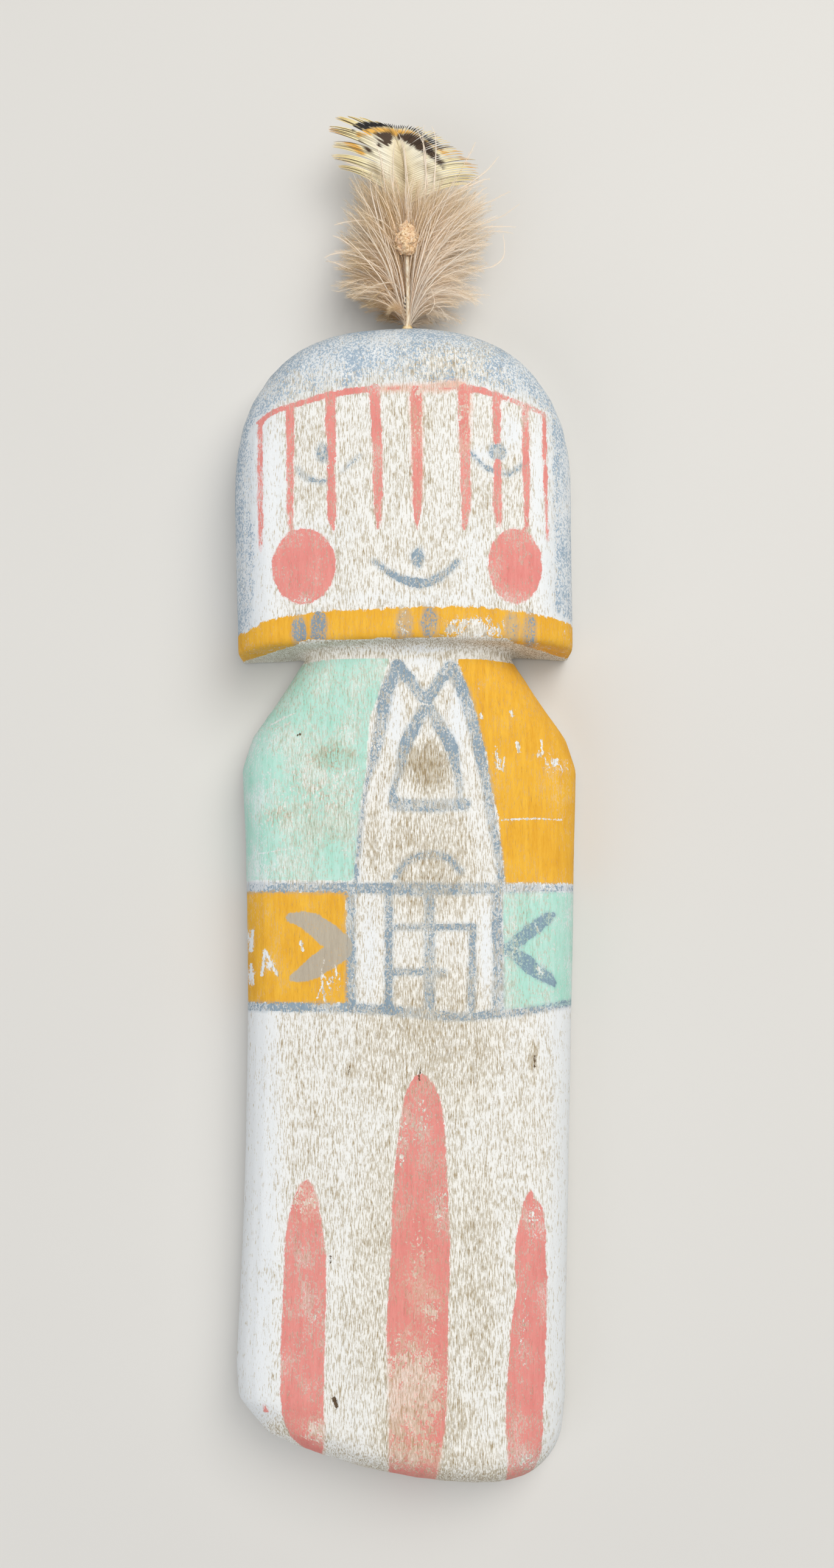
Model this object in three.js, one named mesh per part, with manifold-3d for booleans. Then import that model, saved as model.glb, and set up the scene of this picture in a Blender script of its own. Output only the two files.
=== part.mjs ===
// A flat cradle doll carved from one board of cottonwood root, with a small feather set in its crown.
// It lies on its back: +Z is up out of the painted front, +Y runs from the foot to the head, and +X is
// the right-hand side of the front. The origin is the middle of the flat back. Millimetres.
import * as THREE from "three";
import { mergeVertices } from "three/addons/utils/BufferGeometryUtils.js";
import Module from "manifold-3d";

// The board
const figureLength = 187.0; // lowest point of the foot to the crown
const backEdgeRadius = 1.2; // softened edge all round the flat back
const cheekCurve = 2.2; // the fronts fall towards their sides by this power of the distance

// The head, a thicker dome that overhangs the neck
const headLength = 54.6; // chin ledge to crown
const headWidth = 55.7;
const headThickness = 19.0;
const headCrown = 3.0; // how far the front falls from its middle to its sides
const headSideHeight = 9.8; // the side is upright up to here, and the front edge softens above it
const headSideRadius = 6.5; // width of that softened edge at the sides
const headTopRadius = 9.5; // and at the crown
const domeHeight = 28.2; // the part of the head that is the dome
const domeSquareness = 2.5; // 2 is an ellipse, and more is squarer
const headLean = 0.6; // degrees towards the left
const headSway = 0.25; // besides, the crown lies this far to the left of the chin's middle
const headTaper = 0.35; // each side comes in this much from the dome to the chin
const headShift = 0.1; // the head's middle, to the right of the board's
const chinEdgeRadius = 1.5; // worn front edge of the ledge
const chinArch = 1.0; // the ledge is hollowed this much in its middle
const ledgeDepth = 4.5; // step from the head's front down to the body's

// The body, a plain tapering slab
const neckWidth = 32.9;
const neckShift = 0.5;
const shoulderWidth = 55.0;
const shoulderShift = 0.7;
const shoulderDrop = 16.0; // chin ledge to the shoulder corner
const shoulderRadius = 2.6; // length of the corner's curve on each side of it
const hemWidth = 52.8;
const hemShift = -0.65;
const hemHeight = 16.4; // hem level above the lowest point of the foot
const waistHollow = 1.3; // the left side is hollowed this much
const bodyCrown = 2.4;
const bodySideHeight = 6.5;
const bodySideRadius = 5.5;
const coveRadius = 1.8; // hollow corner where the ledge meets the body
const bodyTuck = 4.0; // length of the body that runs on inside the head

// The foot, cut aslant: the left corner is higher and the right one is round
const footLeftRise = 5.0; // the sole line has risen this much where the left corner begins
const footLeftWidth = 11.4;
const footRightWidth = 13.2;
const footRightHeight = 14.3;
const footSquareness = 2.55;

// The feather: shaft, downy base and barred tip grown as one
const shaftRadius = 0.45;
const shaftTipRadius = 0.32;
const shaftBelowEdge = 0.3; // the shaft enters the crown this far below where the front edge begins
const shaftShift = 0.4;
const socketDepth = 7.0;
const socketClearance = 0.3;
const shaftEndGap = 0.5; // between the shaft's end and the bottom of the socket
const shaftReach = 11.4; // from the crown to the lump on the shaft
const shaftLift = 4.6; // how far the shaft rises towards the viewer on the way
const downWidth = 26.6;
const downLength = 26.2;
const downThickness = 10.5;
const downRim = 0.18; // thickness of the tuft's rim, as a share of its middle's
const downShift = 1.4;
const downStart = 1.5; // gap from the crown to the lowest barbs
const downSquareness = 2.15;
const downLocks = 11; // soft locks round the rim
const downLockDepth = 0.55;
const tipWidth = 26.4;
const tipLength = 16.2;
const tipThickness = 1.6;
const tipRim = 0.5;
const tipShift = 0.3;
const tipOverlap = 6.2; // the tip's lower part is buried in the down

// The dry fibrous lump on the shaft, and the glue round the shaft's foot
const lumpWidth = 3.5;
const lumpLength = 5.6;
const lumpThickness = 3.0;
const lumpShift = -0.1;
const fitGap = 0.3; // between pieces that touch
const glueRadius = 1.5;
const glueHeight = 0.8;
const surfaceGap = 0.6; // the tuft stays this far clear of what the doll lies on

// Fineness of the surfaces
const outlineStep = 0.6; // spacing of the points along an outline
const downRowSpacing = 1.4; // spacing of the rows of faces across the tuft
const tipRowSpacing = 1.2; // and across the barred tip
const endTolerance = 0.03; // a round end closes without edges shorter than this
const joinTolerance = 0.01;

// Places that follow from the sizes
const crownY = figureLength / 2;
const footY = -figureLength / 2;
const chinY = crownY - headLength;
const bodyThickness = headThickness - ledgeDepth;
const shaftHeight = headSideHeight - shaftBelowEdge;
const downHeight = Math.max(shaftHeight, downThickness / 2 + surfaceGap);
const shaftX = shaftShift;
const lumpY = crownY + shaftReach + lumpLength / 2;
const lumpZ = shaftHeight + shaftLift + 0.15 * lumpThickness;

const wasm = await Module();
wasm.setup();

// A closed mesh becomes a solid, for the cuts and joins.
function toSolid(geometry) {
  const bare = geometry.index ? geometry.toNonIndexed() : geometry.clone();
  bare.deleteAttribute("normal");
  bare.deleteAttribute("uv");
  const merged = mergeVertices(bare, 1e-4);
  const corners = merged.index.array;
  const kept = [];
  for (let i = 0; i < corners.length; i += 3) {
    const [a, b, c] = [corners[i], corners[i + 1], corners[i + 2]];
    if (a !== b && b !== c && c !== a) kept.push(a, b, c);
  }
  return new wasm.Manifold(
    new wasm.Mesh({
      numProp: 3,
      vertProperties: new Float32Array(merged.attributes.position.array),
      triVerts: new Uint32Array(kept),
    }),
  );
}

// A solid becomes a mesh again, without the slivers and crumbs that a join leaves.
function toGeometry(solid) {
  const bodies = solid.simplify(joinTolerance).decompose();
  const main = bodies.reduce((a, b) => (b.volume() > a.volume() ? b : a));
  const mesh = main.getMesh();
  const geometry = new THREE.BufferGeometry();
  geometry.setAttribute("position", new THREE.BufferAttribute(mesh.vertProperties, 3));
  geometry.setIndex(new THREE.BufferAttribute(mesh.triVerts, 1));
  geometry.computeVertexNormals();
  return geometry;
}

// A stretch of a rounded square: an ellipse whose corners are pushed out. Angles are in degrees.
function superArc({ x, y, halfWidth, halfHeight, squareness, from, to, steps }) {
  const power = 2 / squareness;
  return Array.from({ length: steps + 1 }, (_, i) => {
    const angle = THREE.MathUtils.degToRad(from + ((to - from) * i) / steps);
    const [c, s] = [Math.cos(angle), Math.sin(angle)];
    return new THREE.Vector2(
      x + halfWidth * Math.sign(c) * Math.abs(c) ** power,
      y + halfHeight * Math.sign(s) * Math.abs(s) ** power,
    );
  });
}

const lineThrough = (path, points) => points.forEach((p) => path.lineTo(p.x, p.y));

// An outline seen from the front: its left and right edge at a level, and the distance to it.
function outlineOf(path) {
  const points = path.getSpacedPoints(Math.ceil(path.getLength() / outlineStep));
  const levels = points.map((p) => p.y);
  const low = Math.min(...levels);
  const high = Math.max(...levels);
  const edgesAt = (y) => {
    const level = Math.min(high - 1e-6, Math.max(low + 1e-6, y));
    const crossings = [];
    for (let i = 1; i < points.length; i++) {
      const [a, b] = [points[i - 1], points[i]];
      if (a.y > level !== b.y > level) crossings.push(a.x + ((b.x - a.x) * (level - a.y)) / (b.y - a.y));
    }
    return [Math.min(...crossings), Math.max(...crossings)];
  };
  const distance = (x, y) => {
    let best = Infinity;
    for (let i = 1; i < points.length; i++) {
      const [a, b] = [points[i - 1], points[i]];
      const [dx, dy] = [b.x - a.x, b.y - a.y];
      const along = ((x - a.x) * dx + (y - a.y) * dy) / (dx * dx + dy * dy || 1);
      const t = Math.min(1, Math.max(0, along));
      best = Math.min(best, Math.hypot(x - a.x - t * dx, y - a.y - t * dy));
    }
    return best;
  };
  return { low, high, edgesAt, distance };
}

// Quarter of an ellipse: how far a softened edge has fallen at a distance inside the outline.
function softEdge(distance, radius, drop) {
  const t = 1 - Math.min(1, Math.max(0, distance / radius));
  return drop * (1 - Math.sqrt(1 - t * t));
}

// Levels between two ends, close together at a round end. Its first level lies just inside it, where
// the outline already has some width.
function levelsBetween(low, high, highIsRound, spacing) {
  const closeUp = [0.04, 0.2, 0.5, 1, 1.7, 2.7, 4, 5.8, 8];
  const fit = Math.min(1, (0.45 * (high - low)) / closeUp[closeUp.length - 1]);
  const start = closeUp.map((s) => low + s * fit);
  const end = highIsRound ? closeUp.map((s) => high - s * fit).reverse() : [high];
  const [from, to] = [start[start.length - 1], end[0]];
  const count = Math.max(1, Math.round((to - from) / spacing));
  const middle = Array.from({ length: count - 1 }, (_, i) => from + ((to - from) * (i + 1)) / count);
  return [...start, ...middle, ...end];
}

// A solid over an outline, with a front and a back surface given as functions of the place and of the
// distance inside the outline. Rows run across the board, and bend moves a point up or down the board.
function board({ outline, levels, front, back, bend = (x, y) => y }) {
  const insets = [0, 0.25, 0.8, 1.8, 3.4, 5.6]; // places in from each side, close together at the edge
  const middleCount = 5;
  const edgeShare = 0.38; // the insets take no more than this share of a narrow row
  const rows = levels.map((y) => {
    const [left, right] = outline.edgesAt(y);
    const width = right - left;
    const fit = Math.min(1, (edgeShare * width) / insets[insets.length - 1]);
    const fromLeft = insets.map((s) => left + s * fit);
    const fromRight = insets.map((s) => right - s * fit).reverse();
    const [a, b] = [fromLeft[fromLeft.length - 1], fromRight[0]];
    const step = (b - a) / (middleCount + 1);
    const middle = Array.from({ length: middleCount }, (_, i) => a + step * (i + 1));
    return [...fromLeft, ...middle, ...fromRight].map((x) => {
      const inside = outline.distance(x, y);
      return {
        front: new THREE.Vector3(x, bend(x, y), front(x, y, inside)),
        back: new THREE.Vector3(x, bend(x, y), back(x, y, inside)),
      };
    });
  });
  const corners = [];
  const quad = (a, b, c, d) => corners.push(a, b, c, a, c, d);
  const last = rows[0].length - 1;
  for (let j = 1; j < rows.length; j++) {
    const [low, high] = [rows[j - 1], rows[j]];
    for (let i = 0; i < last; i++) {
      quad(low[i].front, low[i + 1].front, high[i + 1].front, high[i].front);
      quad(low[i + 1].back, low[i].back, high[i].back, high[i + 1].back);
    }
    quad(low[0].back, low[0].front, high[0].front, high[0].back);
    quad(low[last].front, low[last].back, high[last].back, high[last].front);
  }
  const [bottom, top] = [rows[0], rows[rows.length - 1]];
  for (let i = 0; i < last; i++) {
    quad(bottom[i].back, bottom[i + 1].back, bottom[i + 1].front, bottom[i].front);
    quad(top[i].front, top[i + 1].front, top[i + 1].back, top[i].back);
  }
  return toSolid(new THREE.BufferGeometry().setFromPoints(corners)).simplify(endTolerance);
}

// The head: straight sides below a dome, with the chin's line hollowed in its middle.
function headSolid() {
  const half = headWidth / 2;
  const domeY = headLength - domeHeight;
  const dome = superArc({
    x: 0,
    y: domeY,
    halfWidth: half,
    halfHeight: domeHeight,
    squareness: domeSquareness,
    from: 0,
    to: 180,
    steps: 60,
  });
  dome.forEach((p) => (p.x -= (headSway * p.y) / headLength));
  const path = new THREE.Path();
  path.moveTo(half - headTaper, 0);
  lineThrough(path, dome);
  path.lineTo(-half + headTaper, 0);
  const archFade = headLength / 4;
  const solid = board({
    outline: outlineOf(path),
    levels: levelsBetween(0, headLength, true, 4.5),
    front: (x, y, inside) => {
      const top = headThickness - headCrown * Math.min(1, Math.abs(x) / half) ** cheekCurve;
      const towardsCrown = Math.max(0, (y - domeY) / domeHeight);
      const radius = headSideRadius + (headTopRadius - headSideRadius) * towardsCrown;
      const chinEdge = softEdge(y, chinEdgeRadius, chinEdgeRadius);
      return top - softEdge(inside, radius, top - headSideHeight) - chinEdge;
    },
    back: (x, y, inside) => softEdge(Math.min(inside, y), backEdgeRadius, backEdgeRadius),
    bend: (x, y) => y + chinArch * Math.max(0, 1 - (x / half) ** 2) * Math.max(0, 1 - y / archFade),
  });
  return solid.rotate([0, 0, headLean]).translate([headShift, chinY, 0]);
}

// The body's outline, from the neck's right side down, along the sole and up the left side.
function bodyPath() {
  const shoulderY = chinY - shoulderDrop;
  const hemY = footY + hemHeight;
  const sides = (width, shift) => [shift - width / 2, shift + width / 2];
  const [neckLeft, neckRight] = sides(neckWidth, neckShift);
  const [shoulderLeft, shoulderRight] = sides(shoulderWidth, shoulderShift);
  const [hemLeft, hemRight] = sides(hemWidth, hemShift);
  const slope = (neckX, shoulderX) =>
    new THREE.Vector2(neckX - shoulderX, shoulderDrop).setLength(shoulderRadius);
  const [slopeLeft, slopeRight] = [slope(neckLeft, shoulderLeft), slope(neckRight, shoulderRight)];
  const soleRight = hemRight - footRightWidth;
  const soleLeft = hemLeft + footLeftWidth;

  const path = new THREE.Path();
  path.moveTo(neckRight, chinY + bodyTuck);
  path.lineTo(neckRight, chinY);
  path.lineTo(shoulderRight + slopeRight.x, shoulderY + slopeRight.y);
  path.quadraticCurveTo(shoulderRight, shoulderY, shoulderRight, shoulderY - shoulderRadius);
  path.lineTo(hemRight, hemY);
  const roundCorner = superArc({
    x: soleRight,
    y: footY + footRightHeight,
    halfWidth: footRightWidth,
    halfHeight: footRightHeight,
    squareness: footSquareness,
    from: 0,
    to: -90,
    steps: 24,
  });
  lineThrough(path, roundCorner);
  path.quadraticCurveTo((soleRight + soleLeft) / 2, footY, soleLeft, footY + footLeftRise);
  path.bezierCurveTo(
    hemLeft + 0.5 * footLeftWidth,
    footY + 1.4 * footLeftRise,
    hemLeft + 0.02 * footLeftWidth,
    footY + 1.9 * footLeftRise,
    hemLeft,
    hemY,
  );
  const hollow = (shoulderLeft + hemLeft) / 2 + 2 * waistHollow;
  path.quadraticCurveTo(hollow, (shoulderY + hemY) / 2, shoulderLeft, shoulderY - shoulderRadius);
  path.quadraticCurveTo(shoulderLeft, shoulderY, shoulderLeft + slopeLeft.x, shoulderY + slopeLeft.y);
  path.lineTo(neckLeft, chinY);
  path.lineTo(neckLeft, chinY + bodyTuck);
  return path;
}

// The body runs on under the chin, whose hollowed line it follows, with a small cove up to the ledge.
function bodySolid() {
  const outline = outlineOf(bodyPath());
  const cove = Math.min(coveRadius, 0.6 * ledgeDepth);
  const coveLevels = [1, 0.6, 0.33, 0.14, 0].map((share) => chinY - share * cove);
  const slabLevels = levelsBetween(outline.low, chinY - 1.7 * cove, false, 5.2);
  const archFade = shoulderDrop / 2;
  return board({
    outline,
    levels: [...slabLevels, ...coveLevels, chinY + bodyTuck],
    front: (x, y, inside) => {
      const [left, right] = outline.edgesAt(y);
      const half = (right - left) / 2;
      const outwards = Math.min(1, Math.abs(x - left - half) / half);
      const top = bodyThickness - bodyCrown * outwards ** cheekCurve;
      const belowChin = Math.max(0, chinY - y);
      return top - softEdge(inside, bodySideRadius, top - bodySideHeight) + softEdge(belowChin, cove, cove);
    },
    back: (x, y, inside) => softEdge(inside, backEdgeRadius, backEdgeRadius),
    bend: (x, y) => {
      const arch = chinArch * Math.max(0, 1 - ((2 * (x - headShift)) / headWidth) ** 2);
      return y + arch * Math.max(0, 1 - Math.max(0, chinY - y) / archFade);
    },
  });
}

// The socket for the shaft, drilled down into the crown.
function socketSolid() {
  const radius = shaftRadius + socketClearance;
  const overrun = 1;
  const geometry = new THREE.CylinderGeometry(radius, radius, socketDepth + overrun, 20);
  geometry.translate(shaftX, crownY - (socketDepth - overrun) / 2, shaftHeight);
  return toSolid(geometry);
}

// The shaft's line: straight out of the crown, then lifting a little towards the viewer.
function shaftLine() {
  const bow = 0.1;
  return new THREE.CatmullRomCurve3([
    new THREE.Vector3(shaftX, crownY - socketDepth + shaftEndGap, shaftHeight),
    new THREE.Vector3(shaftX, crownY, shaftHeight),
    new THREE.Vector3(shaftX + bow, crownY + 0.5 * shaftReach, shaftHeight + 0.4 * shaftLift),
    new THREE.Vector3(shaftX + bow, crownY + shaftReach - fitGap, shaftHeight + shaftLift),
  ]);
}

// A round bar along a line that runs up the board, thinner towards its end.
function barAlong(line, radius, endRadius) {
  const sides = 10;
  const steps = 14;
  const across = new THREE.Vector3(1, 0, 0);
  const rings = line.getSpacedPoints(steps).map((place, i) => {
    const up = new THREE.Vector3().crossVectors(across, line.getTangentAt(i / steps)).normalize();
    const r = radius + ((endRadius - radius) * i) / steps;
    return Array.from({ length: sides }, (_, k) => {
      const angle = (2 * Math.PI * k) / sides;
      return place
        .clone()
        .addScaledVector(across, r * Math.cos(angle))
        .addScaledVector(up, r * Math.sin(angle));
    });
  });
  const corners = [];
  for (let i = 1; i < rings.length; i++) {
    for (let k = 0; k < sides; k++) {
      const n = (k + 1) % sides;
      const [a, b, c, d] = [rings[i - 1][k], rings[i - 1][n], rings[i][n], rings[i][k]];
      corners.push(a, c, b, a, d, c);
    }
  }
  const [first, final] = [rings[0], rings[rings.length - 1]];
  for (let k = 1; k < sides - 1; k++) {
    corners.push(first[0], first[k], first[k + 1]);
    corners.push(final[0], final[k + 1], final[k]);
  }
  return toSolid(new THREE.BufferGeometry().setFromPoints(corners));
}

// A soft lens over an outline, about a middle height, with a thinner rim.
function lens(path, thickness, height, rim, spacing) {
  const outline = outlineOf(path);
  const reach = 0.45 * (outline.high - outline.low);
  const half = (inside) => (thickness / 2) * (rim + (1 - rim) * Math.sqrt(Math.min(1, inside / reach)));
  return board({
    outline,
    levels: levelsBetween(outline.low, outline.high, true, spacing),
    front: (x, y, inside) => height + half(inside),
    back: (x, y, inside) => height - half(inside),
  });
}

// The downy base: a round tuft with soft locks along its rim.
function downPath() {
  const middleY = crownY + downStart + downLength / 2;
  const rim = superArc({
    x: 0,
    y: 0,
    halfWidth: downWidth / 2 - downLockDepth,
    halfHeight: downLength / 2 - downLockDepth,
    squareness: downSquareness,
    from: -90,
    to: 270,
    steps: 12 * downLocks,
  });
  rim.forEach((p) => {
    const lock = downLockDepth * Math.cos(downLocks * (Math.atan2(p.y, p.x) + Math.PI / 2));
    p.setLength(p.length() + lock).add(new THREE.Vector2(downShift, middleY));
  });
  const path = new THREE.Path();
  path.moveTo(rim[0].x, rim[0].y);
  lineThrough(path, rim.slice(1));
  return path;
}

// The flat barred tip: a fan in three tongues on the left, whose upper edge slants down to the right.
function tipPath() {
  const low = crownY + downStart + downLength - tipOverlap;
  const at = (u, v) => new THREE.Vector2(tipShift + (u * tipWidth) / 2, low + v * tipLength);
  const lowerTongue = [at(-0.57, 0.3), at(-0.97, 0.57), at(-0.66, 0.59)];
  const middleTongue = [at(-0.99, 0.8), at(-0.77, 0.81)];
  const upperTongue = [at(-0.93, 0.95), at(-0.77, 1)];
  const topFringe = [at(-0.34, 0.95), at(0.2, 0.89), at(0.49, 0.79)];
  const rightFringe = [at(0.91, 0.57), at(1, 0.42), at(0.8, 0.26)];
  const path = new THREE.Path();
  const start = at(-0.44, 0);
  path.moveTo(start.x, start.y);
  lineThrough(path, [...lowerTongue, ...middleTongue, ...upperTongue]);
  path.splineThru([...topFringe, ...rightFringe]);
  lineThrough(path, [at(0.51, 0), start]);
  return path;
}

function featherSolid() {
  const shaft = barAlong(shaftLine(), shaftRadius, shaftTipRadius);
  const down = lens(downPath(), downThickness, downHeight, downRim, downRowSpacing);
  const tip = lens(tipPath(), tipThickness, downHeight, tipRim, tipRowSpacing);
  return down.add(tip).add(shaft).subtract(lumpSolid(fitGap));
}

// The lump: a rough egg, wider at its lower end.
function lumpSolid(grown) {
  const geometry = new THREE.IcosahedronGeometry(1, 4);
  const position = geometry.attributes.position;
  const p = new THREE.Vector3();
  for (let i = 0; i < position.count; i++) {
    p.fromBufferAttribute(position, i);
    const broadFolds = 0.07 * Math.sin(5.1 * p.x + 2) * Math.sin(7.3 * p.y);
    const rough = 1 + broadFolds + 0.05 * Math.cos(8.7 * p.z + 4 * p.y);
    const taper = 1 - 0.18 * p.y;
    position.setXYZ(
      i,
      shaftX + lumpShift + p.x * taper * rough * (lumpWidth / 2 + grown),
      lumpY + p.y * rough * (lumpLength / 2 + grown),
      lumpZ + p.z * taper * rough * (lumpThickness / 2 + grown),
    );
  }
  return toSolid(geometry);
}

// A low ring of dried glue round the shaft, where it enters the crown.
function glueGeometry() {
  const inner = shaftRadius + fitGap;
  const profile = [
    [inner, 0],
    [glueRadius, 0],
    [0.94 * glueRadius, 0.45 * glueHeight],
    [0.72 * glueRadius, 0.85 * glueHeight],
    [inner, glueHeight],
    [inner, 0],
  ].map(([r, h]) => new THREE.Vector2(r, h));
  return new THREE.LatheGeometry(profile, 24);
}

const paintedWood = new THREE.MeshStandardMaterial({ color: "#e2dcd2", roughness: 0.95, metalness: 0 });
const plumage = new THREE.MeshStandardMaterial({ color: "#cfb08a", roughness: 0.9, metalness: 0 });
const dryFibre = new THREE.MeshStandardMaterial({ color: "#c9a67c", roughness: 0.95, metalness: 0 });
const driedGlue = new THREE.MeshStandardMaterial({ color: "#d9c38a", roughness: 0.45, metalness: 0 });

const doll = new THREE.Group();
doll.name = "cradle_doll";

function addPiece(name, geometry, material) {
  const mesh = new THREE.Mesh(geometry, material);
  mesh.name = name;
  doll.add(mesh);
  return mesh;
}

addPiece("carved_figure", toGeometry(headSolid().add(bodySolid()).subtract(socketSolid())), paintedWood);
addPiece("feather", toGeometry(featherSolid()), plumage);
addPiece("shaft_lump", toGeometry(lumpSolid(0)), dryFibre);
const glue = addPiece("glue_ring", glueGeometry(), driedGlue);
glue.position.set(shaftX, crownY + fitGap, shaftHeight);

export default doll;
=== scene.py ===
# A flat cradle doll: whitewashed cottonwood root under worn mineral paint, with a small feather in
# its crown. Lengths are in metres; the dictionaries give them in millimetres of the doll's own frame,
# with Z up out of the painted front and Y running from the foot to the head.
import math
from functools import partial

import bmesh
import bpy
import numpy as np
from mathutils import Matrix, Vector


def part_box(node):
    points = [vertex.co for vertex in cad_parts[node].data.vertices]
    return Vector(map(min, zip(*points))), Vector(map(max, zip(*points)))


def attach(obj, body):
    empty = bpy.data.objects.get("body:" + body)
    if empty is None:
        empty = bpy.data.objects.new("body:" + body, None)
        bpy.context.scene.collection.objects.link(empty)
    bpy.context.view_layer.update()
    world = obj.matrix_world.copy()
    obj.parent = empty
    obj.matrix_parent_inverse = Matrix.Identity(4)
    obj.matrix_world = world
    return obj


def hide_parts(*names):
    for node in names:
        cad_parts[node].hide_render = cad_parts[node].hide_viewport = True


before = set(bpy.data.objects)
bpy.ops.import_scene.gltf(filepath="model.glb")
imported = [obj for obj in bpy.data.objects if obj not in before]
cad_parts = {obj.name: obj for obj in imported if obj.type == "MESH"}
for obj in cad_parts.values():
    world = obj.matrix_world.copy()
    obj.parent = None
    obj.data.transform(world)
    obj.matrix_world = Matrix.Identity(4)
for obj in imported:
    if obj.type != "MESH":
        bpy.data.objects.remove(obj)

mm = 0.001
scene = bpy.context.scene
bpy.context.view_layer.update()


def linearColour(hexColour):
    values = [int(hexColour[i:i + 2], 16) / 255 for i in (1, 3, 5)]
    return (*[v / 12.92 if v <= 0.04045 else ((v + 0.055) / 1.055) ** 2.4 for v in values], 1)


def addNode(tree, kind, settings=None, out=0, **inputs):
    # adds a node, sets its settings, sets or links its inputs, and gives back one of its outputs;
    # an input's number stands after an i, and stops are a ramp's places with their colours
    new = tree.nodes.new(kind)
    settings = dict(settings or {})
    for i, (place, colour) in enumerate(settings.pop("stops", [])):
        stops = new.color_ramp.elements
        stop = stops[i] if i < len(stops) else stops.new(place)
        stop.position = place
        stop.color = linearColour(colour)
    for key, value in settings.items():
        setattr(new, key, value)
    for key, value in inputs.items():
        socket = new.inputs[int(key[1:])] if key[0] == "i" and key[1:].isdigit() else new.inputs[key]
        if isinstance(value, bpy.types.NodeSocket):
            tree.links.new(value, socket)
        else:
            socket.default_value = value
    return new.outputs[out] if len(new.outputs) else None


# node kinds and settings that the materials share
maths, mixer, ranger = "ShaderNodeMath", "ShaderNodeMix", "ShaderNodeMapRange"
noise, ramp, stored = "ShaderNodeTexNoise", "ShaderNodeValToRGB", "ShaderNodeAttribute"
shiny = "ShaderNodeBsdfPrincipled"
times, plus, minus = {"operation": "MULTIPLY"}, {"operation": "ADD"}, {"operation": "SUBTRACT"}
timesPlus = {"operation": "MULTIPLY_ADD"}
larger, lesser = {"operation": "MAXIMUM"}, {"operation": "MINIMUM"}
smooth = {"interpolation_type": "SMOOTHSTEP"}
colours, darken = {"data_type": "RGBA"}, {"data_type": "RGBA", "blend_type": "MULTIPLY"}


def newMaterial(name):
    # an empty material, and the function that adds its nodes
    material = bpy.data.materials.new(name)
    material.use_nodes = True
    material.node_tree.nodes.clear()
    return material, partial(addNode, material.node_tree)


def selectOnly(piece):
    bpy.ops.object.select_all(action="DESELECT")
    piece.select_set(True)
    bpy.context.view_layer.objects.active = piece


def finishPiece(piece, material, slot, *nodes):
    # gives a finished piece its material, hangs it from the root and hides the nodes that it stands for
    piece.data.materials.clear()
    piece.data.materials.append(material)
    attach(piece, "root")
    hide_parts(*nodes)
    faces = sum(len(p.vertices) - 2 for p in piece.data.polygons)
    print(piece.name, "has", faces, "triangles")


def copyOfNode(node, name):
    # a merged copy of a node of the frame, which itself stays as it is
    piece = bpy.data.objects.new(name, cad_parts[node].data.copy())
    scene.collection.objects.link(piece)
    selectOnly(piece)
    bpy.ops.object.mode_set(mode="EDIT")
    bpy.ops.mesh.select_all(action="SELECT")
    bpy.ops.mesh.remove_doubles(threshold=0.002 * mm)
    bpy.ops.mesh.normals_make_consistent(inside=False)
    bpy.ops.object.mode_set(mode="OBJECT")
    return piece


def applyModifier(piece, name, kind, **settings):
    selectOnly(piece)
    modifier = piece.modifiers.new(name, kind)
    for key, value in settings.items():
        setattr(modifier, key, value)
    bpy.ops.object.modifier_apply(modifier=modifier.name)


# The camera looks down on the doll, tilted a little towards its foot
view = {
    "lookAt": (2.0, 17.7, 8.0),
    "distance": 300.0,
    "tilt": 5.5,  # degrees from straight down
    "lens": 41.93,
    "sensor": 36.0,
}


def makeCamera():
    tilt = math.radians(view["tilt"])
    target = Vector(view["lookAt"]) * mm
    place = target + view["distance"] * mm * Vector((0, -math.sin(tilt), math.cos(tilt)))
    bpy.ops.object.camera_add(location=place)
    camera = bpy.context.object
    camera.name = "copyStandCamera"
    camera.rotation_euler = (target - place).to_track_quat("-Z", "Y").to_euler()
    camera.data.lens = view["lens"]
    camera.data.sensor_width = view["sensor"]
    camera.data.dof.use_dof = False
    camera.data.clip_start = 0.01
    scene.camera = camera
    print("camera placed")


# A pale studio table and soft light from the doll's head side
studio = {
    "floorColour": "#d8d6d1",
    "floorSize": 4.0,
    "floorHeight": -0.05 * mm,
    "roomColour": "#f4f5f6",
    "roomStrength": 0.30,
    "lights": [
        # name, place in metres, size in metres, power in watts, colour
        ("bigSoftbox", (0.34, 0.42, 0.72), 0.55, 4.3, "#fffcf8"),
        ("fillPanel", (-0.48, -0.50, 0.58), 0.70, 1.9, "#f4f7ff"),
        ("topPanel", (0.05, 0.05, 1.00), 0.50, 3.4, "#ffffff"),
    ],
}


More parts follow.
